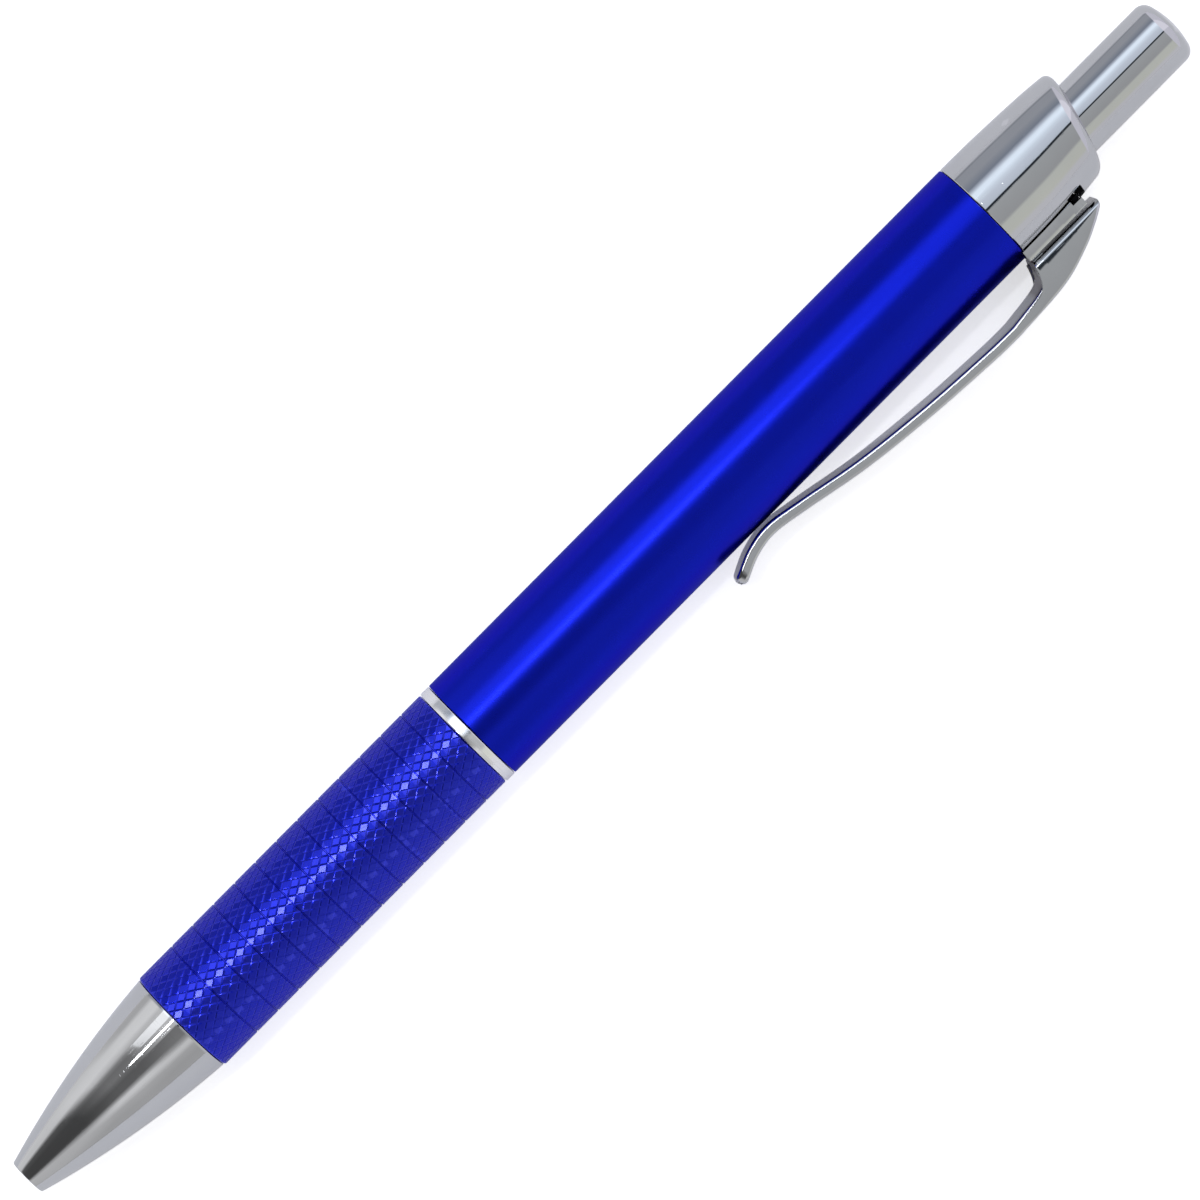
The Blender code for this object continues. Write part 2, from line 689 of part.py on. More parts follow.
def plunger(parts, cutters, material):
    """Plunger that carries the button's push to the rotor through a crown of teeth."""
    teeth_inner = PLUNGER_BORE
    stem = BUTTON_BORE - FIT
    crown = PLUNGER_CROWN + TOOTH_HEIGHT
    points = [(stem, PLUNGER_END), (stem, PLUNGER_STEM_START), (CAM_HUB_RADIUS, PLUNGER_STEM_START),
              (CAM_HUB_RADIUS, crown), (teeth_inner, crown), (teeth_inner, PLUNGER_END)]
    made = bake(turned("plunger", points, material, parts, STEPS_INNER))
    cut_teeth(made, crown, 0.0, -1.0)
    shade(made)
    embed = 0.5 * MM
    return add_ribs(made, 0.0, PLUNGER_RIB_START + TOOTH_HEIGHT, PLUNGER_RIB_END,
                    CAM_HUB_RADIUS - embed, CAM_RIB_TIP, PLUNGER_RIB_WIDTH, 0.0, 0.0, cutters)


# ---------------------------------------------------------------- refill

def writing_ball(parts, material):
    """The rolling ball, with its origin at its own centre."""
    shape = bmesh.new()
    bmesh.ops.create_uvsphere(shape, u_segments=16, v_segments=10, radius=BALL_RADIUS)
    made = add_object("writing_ball", mesh_from("writing_ball", shape), material, parts)
    made.location = (0.0, 0.0, BALL_CENTRE)
    return shade(made)


def point_cone(parts, material):
    """Metal point with the ball's socket at one end and a stem at the other."""
    lip = 0.04 * MM
    socket = BALL_RADIUS + 0.03 * MM
    seat_start = BALL_CENTRE + 0.6 * BALL_RADIUS
    seat_end = BALL_CENTRE + 1.2 * BALL_RADIUS
    mouth = math.sqrt(BALL_RADIUS ** 2 - (BALL_CENTRE - CONE_MOUTH) ** 2) + 0.02 * MM
    points = [(POINT_STEM_RADIUS, POINT_STEM_END), (POINT_STEM_RADIUS, POINT_SHOULDER),
              (POINT_RADIUS, POINT_SHOULDER), (POINT_RADIUS, CONE_END),
              (mouth + 2 * lip, CONE_MOUTH), (mouth, CONE_MOUTH), (socket, BALL_CENTRE),
              (socket, seat_start), (INK_CHANNEL_RADIUS, seat_end),
              (INK_CHANNEL_RADIUS, POINT_STEM_END)]
    return shade(turned("point_cone", points, material, parts, STEPS_POINT))


def tip_holder(parts, material):
    """Brass neck between the point and the reservoir. The spring bears on its shoulder."""
    bore = POINT_STEM_RADIUS + FIT
    channel = POINT_STEM_RADIUS - 0.25 * MM
    inside = TUBE_RADIUS - TUBE_WALL - FIT
    bore_end = POINT_STEM_END + FIT
    points = [(inside, HOLDER_END), (inside, HOLDER_FLANGE_END), (TUBE_RADIUS, HOLDER_FLANGE_END),
              (TUBE_RADIUS, HOLDER_FLANGE), (TUBE_RADIUS - 0.4 * MM, HOLDER_SHOULDER),
              (HOLDER_RADIUS, HOLDER_SHOULDER), (HOLDER_RADIUS, HOLDER_START), (bore, HOLDER_START),
              (bore, bore_end), (channel, bore_end), (channel, HOLDER_END)]
    return shade(turned("tip_holder", points, material, parts, STEPS_INNER))


def reservoir_tube(parts, material):
    """Metal ink reservoir."""
    return tube("reservoir_tube", TUBE_RADIUS, TUBE_RADIUS - TUBE_WALL, TUBE_START, TUBE_END,
                material, parts, STEPS_INNER)


def plain_rod(name, radius, start, end, material, parts):
    """A solid round rod."""
    points = [(0.0, end), (radius, end), (radius, start), (0.0, start)]
    return shade(turned(name, points, material, parts, STEPS_INNER, on_axis=True))


def ink_column(parts, material):
    """The ink that fills most of the reservoir."""
    radius = TUBE_RADIUS - TUBE_WALL - FIT
    return plain_rod("ink_column", radius, INK_START, INK_END, material, parts)


def ink_follower(parts, material):
    """The grease plug that follows the ink down the tube."""
    radius = TUBE_RADIUS - TUBE_WALL - FIT
    return plain_rod("ink_follower", radius, INK_END + FIT, FOLLOWER_END, material, parts)


def reservoir_plug(parts, cutters, material):
    """Plastic end of the refill, with the crossed slots that such refills have."""
    inside = TUBE_RADIUS - TUBE_WALL - FIT
    vent = 0.6 * MM
    rim = TUBE_END + FIT
    points = [(CROWN_PLUG_STUB, CROWN_PLUG_END), (CROWN_PLUG_STUB, CROWN_PLUG_RIM),
              (TUBE_RADIUS, CROWN_PLUG_RIM), (TUBE_RADIUS, rim), (inside, rim),
              (inside, CROWN_PLUG_START), (vent, CROWN_PLUG_START), (vent, CROWN_PLUG_END)]
    made = turned("reservoir_plug", points, material, parts, STEPS_INNER)
    shade(made)
    for i in range(2):
        size = (4 * CROWN_PLUG_STUB, CROWN_SLOT_WIDTH, 2 * CROWN_SLOT_DEPTH)
        slot = block(f"crown_slot_{i + 1}", size, (0.0, 0.0, CROWN_PLUG_END), None, cutters)
        slot.data.transform(Matrix.Rotation(math.pi / 2 * i, 4, "Z"))
        boolean(made, as_cutter(slot), "DIFFERENCE")
    return made


def spring_height(turn):
    """Height of the wire after a number of turns: close turns at both ends, open between."""
    total = SPRING_TURNS + 2 * SPRING_END_TURNS
    low = SPRING_START + SPRING_WIRE_RADIUS
    high = SPRING_END - SPRING_WIRE_RADIUS
    end_rise = SPRING_END_TURNS * SPRING_END_PITCH
    if turn <= SPRING_END_TURNS:
        return low + turn * SPRING_END_PITCH
    if turn >= total - SPRING_END_TURNS:
        return high - (total - turn) * SPRING_END_PITCH
    open_pitch = (high - low - 2 * end_rise) / SPRING_TURNS
    return low + end_rise + (turn - SPRING_END_TURNS) * open_pitch


def return_spring(parts, material):
    """Compression spring around the refill's neck."""
    curve = bpy.data.curves.new("return_spring", "CURVE")
    curve.dimensions = "3D"
    curve.bevel_depth = SPRING_WIRE_RADIUS
    curve.bevel_resolution = 2
    curve.use_fill_caps = True
    total = SPRING_TURNS + 2 * SPRING_END_TURNS
    count = int(total * SPRING_POINTS_PER_TURN) + 1
    spline = curve.splines.new("POLY")
    spline.points.add(count - 1)
    for i, point in enumerate(spline.points):
        turn = total * i / (count - 1)
        angle = 2 * math.pi * turn
        x = SPRING_MEAN_RADIUS * math.cos(angle)
        y = SPRING_MEAN_RADIUS * math.sin(angle)
        point.co = (x, y, spring_height(turn), 1.0)
    curve.materials.append(material)
    made = bpy.data.objects.new("return_spring", curve)
    parts.objects.link(made)
    return made


# ---------------------------------------------------------------- laying the pen down

def lean():
    """How far the clip drops below level when one of its edges meets the table."""
    angles = []
    for place in clip_outline():
        reach = place.y - CLIP_EDGE
        side = clip_half_width(place.x, place.y) - CLIP_EDGE
        distance = math.hypot(reach, side)
        if distance > BARREL_RADIUS:
            angles.append(math.asin((BARREL_RADIUS - CLIP_EDGE) / distance) - math.atan2(side, reach))
    return min(angles)


def clip_reach(angle):
    """How far the clip stands out sideways from the pen's axis when the pen lies down."""
    return max(place.y * math.cos(angle) + clip_half_width(place.x, place.y) * math.sin(angle)
               for place in clip_outline())


def lay_down(collection, pieces):
    """Parent the pieces to an empty that lays the pen along X, clip towards -Y."""
    angle = lean()
    offset = (clip_reach(angle) - BARREL_RADIUS) / 2
    axis = bpy.data.objects.new("pen_axis", None)
    collection.objects.link(axis)
    across = (0.0, -math.cos(angle), -math.sin(angle))
    third = (0.0, math.sin(angle), -math.cos(angle))
    along = (1.0, 0.0, 0.0)
    turn = Matrix((across, third, along)).transposed().to_4x4()
    axis.matrix_world = Matrix.Translation((-PEN_LENGTH / 2, offset, BARREL_RADIUS)) @ turn
    for piece in pieces:
        piece.parent = axis


def main():
    clear_scene()
    parts = new_collection("retractable_ballpoint_pen")
    cutters = new_collection("cutters")
    plated = chrome()
    blue = blue_anodised()
    black = black_plastic()
    white = white_plastic()
    nose_cone(parts, plated)
    grip_sleeve(parts, blue)
    grip_liner(parts, black)
    trim_ring(parts, bright_ring())
    barrel_coupling(parts, black)
    barrel_tube(parts, blue)
    collar_plug(parts, black)
    clip_collar(parts, cutters, plated)
    clip(parts, cutters, plated)
    push_button(parts, plated)
    plunger(parts, cutters, grey_plastic())
    cam_sleeve(parts, cutters, white)
    rotor_cam(parts, cutters, white)
    writing_ball(parts, carbide())
    point_cone(parts, nickel_silver())
    tip_holder(parts, brass())
    reservoir_tube(parts, refill_steel())
    ink_column(parts, ink())
    ink_follower(parts, follower_grease())
    reservoir_plug(parts, cutters, black)
    return_spring(parts, spring_steel())
    lay_down(parts, list(parts.objects) + list(cutters.objects))


main()
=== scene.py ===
"""Looks of the retractable ballpoint pen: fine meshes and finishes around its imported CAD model.

The pen's own frame has Z along the pen from the flat end of the nose cone (Z = 0) to the button,
and the clip on +X. PEN places that frame on the table, as the CAD model lies. Every new piece
is built in the pen's frame and laid down by PEN, and every finish is worked out in that frame.
"""

import json
import math

import bmesh
import bpy
from mathutils import Matrix, Vector


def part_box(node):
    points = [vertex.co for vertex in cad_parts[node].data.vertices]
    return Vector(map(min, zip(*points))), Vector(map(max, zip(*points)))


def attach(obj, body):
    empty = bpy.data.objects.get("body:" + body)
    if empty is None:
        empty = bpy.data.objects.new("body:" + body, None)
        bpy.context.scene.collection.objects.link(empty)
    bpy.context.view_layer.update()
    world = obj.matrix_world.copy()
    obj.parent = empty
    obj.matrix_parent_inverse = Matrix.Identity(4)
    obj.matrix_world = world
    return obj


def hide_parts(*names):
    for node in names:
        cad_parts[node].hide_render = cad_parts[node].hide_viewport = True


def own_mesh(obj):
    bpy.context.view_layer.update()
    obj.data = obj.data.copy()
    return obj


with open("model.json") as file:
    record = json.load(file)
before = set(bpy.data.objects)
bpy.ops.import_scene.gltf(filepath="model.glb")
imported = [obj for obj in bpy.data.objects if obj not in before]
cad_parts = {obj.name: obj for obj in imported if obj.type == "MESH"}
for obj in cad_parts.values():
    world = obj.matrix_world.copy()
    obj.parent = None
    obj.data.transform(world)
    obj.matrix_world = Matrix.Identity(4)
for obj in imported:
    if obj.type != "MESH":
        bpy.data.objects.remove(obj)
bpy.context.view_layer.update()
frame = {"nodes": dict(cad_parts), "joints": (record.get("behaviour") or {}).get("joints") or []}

MM = 0.001

# How finely the round pieces are cut
STEPS_CASING = 160
STEPS_INNER = 96
STEPS_POINT = 64
MERGE = 0.0000002

# Lengths along the pen, from the flat end of the nose cone
NOSE_LENGTH = 18.8 * MM
GRIP_END = 53.12 * MM
RING_END = 54.2 * MM
BARREL_END = 116.57 * MM
COLLAR_END = 127.9 * MM
PEN_LENGTH = 139.7 * MM
SEAM = 0.07 * MM

# Radii of the casing
NOSE_TIP_RADIUS = 1.75 * MM
NOSE_BASE_RADIUS = 5.11 * MM
NOSE_BULGE = 2.0 * MM
GRIP_RADIUS = 5.22 * MM
BARREL_RADIUS = 5.25 * MM
BARREL_WALL = 0.75 * MM
SLEEVE_WALL = 0.65 * MM
BUTTON_RADIUS = 3.15 * MM

# Bores of the nose cone
POINT_HOLE_RADIUS = 1.3 * MM
SPRING_SEAT = 5.5 * MM
SPRING_POCKET_RADIUS = 2.45 * MM
REFILL_POCKET_START = 15.5 * MM
REFILL_POCKET_RADIUS = 3.3 * MM
SPIGOT_RADIUS = 3.7 * MM
NOSE_SPIGOT_END = 26.0 * MM

# Knurl pressed into the grip, and the grooves turned over it
KNURL_STARTS = 38
KNURL_PITCH = 1.249 * MM
KNURL_DEPTH = 0.032 * MM
KNURL_FLAT = 0.01 * MM
KNURL_CROWN = 0.0015 * MM
KNURL_CUTS = (0.0, 0.13, 0.5, 0.87)
GROOVES = 12
FIRST_GROOVE = 22.85 * MM
GROOVE_PITCH = 2.54 * MM
GROOVE_WIDTH = 0.16 * MM
GROOVE_DEPTH = 0.08 * MM

# Clip collar
COLLAR_END_RADIUS = 4.62 * MM
COLLAR_TAPER_POWER = 2.3
COLLAR_EDGE = 1.0 * MM
COLLAR_HALF_SLANT = 1.3 * MM
COLLAR_SLANT_START = 121.0 * MM
COLLAR_SLANT_FULL = 126.5 * MM
COLLAR_BORE_RADIUS = 4.25 * MM
COLLAR_BORE_END = 122.15 * MM
COLLAR_HOLE_RADIUS = 3.35 * MM
SLOT_START = 122.35 * MM
SLOT_END = 124.05 * MM
SLOT_HALF_WIDTH = 3.2 * MM
SLOT_FLOOR = 3.8 * MM
SLOT_WEB_START = 123.45 * MM
SLOT_WEB_HALF_WIDTH = 1.9 * MM

# Clip. The points of its curves are (height, radius) in millimetres.
CLIP_THICKNESS = 1.05 * MM
CLIP_ARM = [(79.75, 7.3), (82.0, 6.34), (84.5, 5.97), (88.0, 6.5), (94.0, 7.62), (101.0, 8.4),
            (107.5, 8.83), (110.5, 8.93), (113.4, 8.88)]
CLIP_BACK = [(117.1, 9.05), (120.5, 8.12), (122.85, 7.08), (124.12, 6.35)]
CLIP_THROAT = [(115.2, 7.9), (116.15, 7.05), (116.5, 5.9)]
CLIP_NOSE_END = 124.27 * MM
CLIP_NOSE_FLOOR = 5.78 * MM
CLIP_GAP_START = 117.75 * MM
CLIP_FOOT_START = 116.5 * MM
CLIP_FOOT_END = 123.4 * MM
CLIP_FOOT_TOP = 5.5 * MM
CLIP_FOOT_ROOT = 4.3 * MM
CLIP_TAIL_HALF_WIDTH = 1.8 * MM
CLIP_ROOT_HALF_WIDTH = 3.0 * MM
CLIP_WIDTH_START = 80.0 * MM
CLIP_WIDTH_END = 117.0 * MM
CLIP_NOSE_HALF_WIDTH = 2.8 * MM
CLIP_NOSE_TAPER_START = 121.0 * MM
CLIP_TAIL_TAPER = 0.6
CLIP_EDGE = 0.28 * MM
CLIP_CLEARANCE = 0.12 * MM
SADDLE_REACH = 3.0 * MM
CLIP_GAP_FLARE = 0.6 * MM
CLIP_WEB_HALF_WIDTH = 1.8 * MM
CLIP_UNDERCUT_START = 122.4 * MM
CLIP_UNDERCUT_TOP = 4.68 * MM
THROAT_START = 114.4 * MM
THROAT_TOP = 8.3 * MM
THROAT_HALF_WIDTH = 2.85 * MM
TANG_START = 122.65 * MM
TANG_END = 123.3 * MM
TANG_HALF_WIDTH = 2.3 * MM
TANG_TIP = 4.2 * MM

# Button
BUTTON_START = 115.6 * MM
BUTTON_FLANGE_RADIUS = 3.7 * MM
BUTTON_FLANGE_LENGTH = 0.65 * MM
BUTTON_BORE = 2.2 * MM
BUTTON_BORE_END = 137.0 * MM
BUTTON_EDGE = 1.15 * MM
BUTTON_DOME_RADIUS = 8.0 * MM

# Writing point and spring
BALL_RADIUS = 0.5 * MM
BALL_CENTRE = 1.8 * MM
CONE_MOUTH = 1.62 * MM
CONE_END = 5.5 * MM
POINT_RADIUS = 1.15 * MM
POINT_SHOULDER = 11.6 * MM
POINT_STEM_RADIUS = 0.75 * MM
POINT_STEM_END = 15.0 * MM
INK_CHANNEL_RADIUS = 0.3 * MM
SPRING_START = 5.85 * MM
SPRING_END = 21.6 * MM
SPRING_WIRE_RADIUS = 0.2 * MM
SPRING_MEAN_RADIUS = 2.0 * MM
SPRING_TURNS = 9
SPRING_END_TURNS = 1.5
SPRING_END_PITCH = 0.46 * MM
SPRING_POINTS_PER_TURN = 28


# ---- the pen's frame

def pen_frame():
    """The pen's frame on the table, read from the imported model: axis, nose end and lean."""
    low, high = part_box("barrel_tube")
    middle = (low + high) / 2
    nose_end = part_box("nose_cone")[0].x
    hinge = [joint for joint in frame["joints"] if joint["name"] == "clip_flex"][0]
    along = Vector((1.0, 0.0, 0.0))
    third = -Vector(hinge["axis"]).normalized()
    across = third.cross(along)
    turn = Matrix((across, third, along)).transposed().to_4x4()
    return Matrix.Translation((nose_end, middle.y, middle.z)) @ turn


PEN = pen_frame()


# ---- modelling helpers

def add_object(name, data, place=None):
    """Link a mesh, light or camera as a named object, by default in the pen's frame."""
    made = bpy.data.objects.new(name, data)
    bpy.context.scene.collection.objects.link(made)
    made.matrix_world = PEN if place is None else place
    return made


def add_shape(name, shape, place=None):
    """Turn a bmesh into a named object, with its faces turned outwards, and free it."""
    bmesh.ops.recalc_face_normals(shape, faces=shape.faces)
    mesh = bpy.data.meshes.new(name)
    shape.to_mesh(mesh)
    shape.free()
    return add_object(name, mesh, place)


def ladder(low, high, count):
    """Values at equal steps from one to another."""
    return [low + (high - low) * i / count for i in range(count + 1)]


def polar(radius, angle, height):
    """A point at a radius, an angle and a height round the pen's axis."""
    return radius * math.cos(angle), radius * math.sin(angle), height


def fillet(corners, pieces=5):
    """A profile from corners (radius, height, rounding), sharp at its two ends."""
    made = []
    for i, (radius, height, rounding) in enumerate(corners):
        here = Vector((radius, height))
        if rounding == 0.0:
            made.append(here)
            continue
        before = (Vector(corners[i - 1][:2]) - here).normalized()
        after = (Vector(corners[i + 1][:2]) - here).normalized()
        half = before.angle(after) / 2
        reach = rounding / math.tan(half)
        centre = here + (before + after).normalized() * rounding / math.sin(half)
        first = here + before * reach - centre
        last = here + after * reach - centre
        for share in ladder(0.0, 1.0, pieces):
            made.append(centre + first.normalized().slerp(last.normalized(), share) * rounding)
    return made


def plain_ring(shape, radius, height, steps):
    """A ring of new vertices in order of angle, or one vertex on the axis."""
    if radius < MERGE:
        return [shape.verts.new((0.0, 0.0, height))]
    return [shape.verts.new(polar(radius, 2 * math.pi * k / steps, height)) for k in range(steps)]


def join_rings(shape, first, second):
    """Faces from one ring to the next. Either may be a single vertex."""
    steps = max(len(first), len(second))
    for k in range(steps):
        after = (k + 1) % steps
        if len(first) == 1:
            corners = (first[0], second[k], second[after])
        elif len(second) == 1:
            corners = (first[k], first[after], second[0])
        else:
            corners = (first[k], first[after], second[after], second[k])
        shape.faces.new(corners)


def lathe(name, profile, steps, closed=True):
    """A turned piece from a profile of (radius, height). An open one ends on the axis."""
    shape = bmesh.new()
    rings = [plain_ring(shape, radius, height, steps) for radius, height in profile]
    if closed:
        rings.append(rings[0])
    for first, second in zip(rings, rings[1:]):
        join_rings(shape, first, second)
    return add_shape(name, shape)


def loft(name, sections):
    """A closed solid through sections of equally many points, with flat ends."""
    shape = bmesh.new()
    rings = [[shape.verts.new(point) for point in section] for section in sections]
    for first, second in zip(rings, rings[1:]):
        join_rings(shape, first, second)
    shape.faces.new(rings[0])
    shape.faces.new(rings[-1])
    return add_shape(name, shape)


def arc(centre, size, first, last, steps):
    """Points (radius, height) on an arc between two angles from the radial direction."""
    x, y = centre
    angles = ladder(first, last, steps)
    return [Vector((x + size * math.cos(a), y + size * math.sin(a))) for a in angles]


def shade(made, angle=38.0):
    """Smooth shading with sharp edges kept."""
    made.data.shade_smooth()
    made.data.set_sharp_from_angle(angle=math.radians(angle))
    return made


def carve(made, tool, operation="DIFFERENCE"):
    """Apply a Boolean of one closed object with another, and remove the tool."""
    change = made.modifiers.new("carve", "BOOLEAN")
    change.operation = operation
    change.solver = "MANIFOLD"
    change.object = tool
    graph = bpy.context.evaluated_depsgraph_get()
    graph.update()
    mesh = bpy.data.meshes.new_from_object(made.evaluated_get(graph))
    made.modifiers.clear()
    made.data = mesh
    bpy.data.objects.remove(tool, do_unlink=True)
    return made


def block(name, low, high, edge=0.0):
    """A box between two corners, with its edges rounded by edge."""
    shape = bmesh.new()
    bmesh.ops.create_cube(shape, size=1.0)
    size = Vector(high) - Vector(low)
    bmesh.ops.scale(shape, vec=size, verts=shape.verts)
    bmesh.ops.translate(shape, vec=(Vector(low) + Vector(high)) / 2, verts=shape.verts)
    if edge > 0.0:
        bmesh.ops.bevel(shape, geom=shape.edges[:], offset=edge, segments=3, profile=0.5,
                        affect="EDGES")
    return add_shape(name, shape)


def through_points(points, spans):
    """A smooth curve through points, cut into equal spans between each two of them."""
    padded = [points[0] * 2 - points[1]] + points + [points[-1] * 2 - points[-2]]
    made = []
    for before, start, end, after in zip(padded, padded[1:], padded[2:], padded[3:]):
        for i in range(spans):
            t = i / spans
            bend = (2 * before - 5 * start + 4 * end - after) * t * t
            bend += (3 * start - before - 3 * end + after) * t ** 3
            made.append(start + ((end - before) * t + bend) / 2)
    made.append(padded[-2])
    return made


def smooth_step(value):
    """0 below 0, 1 above 1, and a smooth rise between."""
    value = min(max(value, 0.0), 1.0)
    return value * value * (3 - 2 * value)


def finish_piece(made, material, body, node):
    """Lay a piece down, give it its finish, hang it on its CAD body and hide the CAD node it
    stands for.
    """
    made.data.transform(PEN)
    made.matrix_world = Matrix.Identity(4)
    made.data.materials.clear()
    made.data.materials.append(material)
    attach(made, body)
    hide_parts(node)
    return made


# ---- casing

def nose_radius(height):
    """Outer radius of the nose cone, a taper that swells by NOSE_BULGE."""
    along = height / NOSE_LENGTH
    swell = NOSE_BULGE * along * (1 - along)
    return NOSE_TIP_RADIUS + (NOSE_BASE_RADIUS - NOSE_TIP_RADIUS) * along + swell


def nose_cone():
    """Tapered nose with its point hole, bores and spigot."""
    tip_edge = 0.15 * MM
    base_edge = 0.07 * MM
    corners = [(SPIGOT_RADIUS, NOSE_SPIGOT_END, 0.0), (SPIGOT_RADIUS, NOSE_LENGTH, 0.0),
               (nose_radius(NOSE_LENGTH), NOSE_LENGTH, base_edge)]
    for height in reversed(ladder(tip_edge * 2, NOSE_LENGTH, 44)[1:-1]):
        corners.append((nose_radius(height), height, 0.0))
    corners += [(nose_radius(0.0), 0.0, tip_edge), (POINT_HOLE_RADIUS, 0.0, tip_edge / 2),
                (POINT_HOLE_RADIUS, SPRING_SEAT, 0.0), (SPRING_POCKET_RADIUS, SPRING_SEAT, 0.0),
                (SPRING_POCKET_RADIUS, REFILL_POCKET_START, 0.0),
                (REFILL_POCKET_RADIUS, REFILL_POCKET_START, 0.0),
                (REFILL_POCKET_RADIUS, NOSE_SPIGOT_END, 0.0)]
    return shade(lathe("nose_cone_fine", fillet(corners), STEPS_CASING))


def knurl_radius(first, second):
    """Radius of the knurl at the shares of a diamond: a flat top between two pairs of grooves."""
    if first == 0.0 or second == 0.0:
        return GRIP_RADIUS - KNURL_DEPTH
    turn = math.pi * (first + second - 1.0) / KNURL_STARTS
    centre = (first == 0.5) + (second == 0.5)
    return (GRIP_RADIUS - KNURL_FLAT + KNURL_CROWN * centre / 2) / math.cos(turn)


def knurl_sheet(low, high):
    """The grip's skin of pressed diamonds, a lattice of two crossing families of lines."""
    count = len(KNURL_CUTS)
    turn = KNURL_STARTS * count
    shape = bmesh.new()
    made = {}

    def corner(a, b):
        turns = math.floor((a + b) / (2 * turn))
        key = (a - turns * turn, b - turns * turn)
        if key not in made:
            a, b = key
            share_a = KNURL_CUTS[a % count]
            share_b = KNURL_CUTS[b % count]
            place_a = a // count + share_a
            place_b = b // count + share_b
            angle = math.pi * (place_a + place_b) / KNURL_STARTS
            height = KNURL_PITCH * (place_a - place_b) / 2
            made[key] = shape.verts.new(polar(knurl_radius(share_a, share_b), angle, height))
        return made[key]

    lowest = math.floor(2 * low / KNURL_PITCH) - 2
    highest = math.ceil(2 * high / KNURL_PITCH) + 2
    for difference in range(lowest, highest):
        for total in range(difference % 2, 2 * KNURL_STARTS, 2):
            cell_a = (total + difference) // 2 * count
            cell_b = (total - difference) // 2 * count
            for a in range(cell_a, cell_a + count):
                for b in range(cell_b, cell_b + count):
                    shape.faces.new((corner(a, b), corner(a + 1, b), corner(a + 1, b + 1),
                                     corner(a, b + 1)))
    return shape


def cut_flat(shape, height):
    """Cut a shape's faces along a plane across the pen."""
    geometry = shape.verts[:] + shape.edges[:] + shape.faces[:]
    bmesh.ops.bisect_plane(shape, geom=geometry, dist=MERGE, plane_co=(0.0, 0.0, height),
                           plane_no=(0.0, 0.0, 1.0))


def turn_of(vertex):
    """A vertex's angle round the axis, from 0 to a full turn."""
    return math.atan2(vertex.co.y, vertex.co.x) % (2 * math.pi)


def rim_at(shape, height):
    """The open rim at a height, as vertices in order of angle."""
    found = [v for v in shape.verts if abs(v.co.z - height) < 5 * MERGE and v.is_boundary]
    return sorted(found, key=turn_of)


def zip_rings(shape, rings):
    """Join each ring to the next with triangles. Every ring is in order of angle."""
    def angle(ring, i):
        return turn_of(ring[i % len(ring)]) + 2 * math.pi * (i // len(ring))

    for first, second in zip(rings, rings[1:]):
        i = 0
        j = 0
        while i < len(first) or j < len(second):
            here = first[i % len(first)]
            there = second[j % len(second)]
            ahead = i < len(first) and angle(first, i + 1) <= angle(second, j + 1)
            if ahead or j >= len(second):
                i += 1
                shape.faces.new((here, first[i % len(first)], there))
            else:
                j += 1
                shape.faces.new((here, second[j % len(second)], there))


def grip_sleeve():
    """Knurled metal grip with twelve turned grooves, as one closed skin."""
    start = NOSE_LENGTH + SEAM
    edge = 0.1 * MM
    groove_floor = 0.06 * MM
    low = start + edge
    high = GRIP_END - edge
    shape = knurl_sheet(low, high)
    middles = [FIRST_GROOVE + GROOVE_PITCH * i for i in range(GROOVES)]
    sides = [(m - GROOVE_WIDTH / 2, m + GROOVE_WIDTH / 2) for m in middles]
    cuts = [low, high] + [height for pair in sides for height in pair]
    for height in cuts:
        cut_flat(shape, height)
    spare = []
    for face in shape.faces:
        height = face.calc_center_median().z
        if height < low or height > high or any(a < height < b for a, b in sides):
            spare.append(face)
    bmesh.ops.delete(shape, geom=spare, context="FACES")
    rims = {height: rim_at(shape, height) for height in cuts}
    for middle, (before, after) in zip(middles, sides):
        floors = [plain_ring(shape, GRIP_RADIUS - GROOVE_DEPTH, middle + side * groove_floor / 2,
                             STEPS_CASING) for side in (-1, 1)]
        zip_rings(shape, [rims[before]] + floors + [rims[after]])
    ends = [(radius, height) for radius in (GRIP_RADIUS - edge, GRIP_RADIUS - SLEEVE_WALL)
            for height in (start, GRIP_END)]
    rings = [plain_ring(shape, radius, height, STEPS_CASING) for radius, height in ends]
    face_low, face_high, bore_low, bore_high = rings
    zip_rings(shape, [rims[low], face_low, bore_low, bore_high, face_high, rims[high]])
    return shade(add_shape("grip_sleeve_fine", shape), 11.0)


def turned_tube(name, inner, start, end):
    """A tube as wide as the barrel, with its two outer edges rounded."""
    edge = 0.09 * MM
    corners = [(inner, end, 0.0), (BARREL_RADIUS, end, edge), (BARREL_RADIUS, start, edge),
               (inner, start, 0.0)]
    return shade(lathe(name, fillet(corners), STEPS_CASING))


def trim_ring():
    """Bright ring between the grip and the barrel."""
    return turned_tube("trim_ring_fine", SPIGOT_RADIUS + 0.1 * MM, GRIP_END + SEAM,
                       RING_END - SEAM / 2)


def barrel_tube():
    """Upper barrel, a tube with a slim wall and broken edges."""
    return turned_tube("barrel_tube_fine", BARREL_RADIUS - BARREL_WALL, RING_END + SEAM / 2,
                       BARREL_END)


def collar_radius(height):
    """Outer radius of the clip collar, which curves in towards its end."""
    along = max((height - BARREL_END) / (COLLAR_END - BARREL_END), 0.0)
    return BARREL_RADIUS - (BARREL_RADIUS - COLLAR_END_RADIUS) * along ** COLLAR_TAPER_POWER


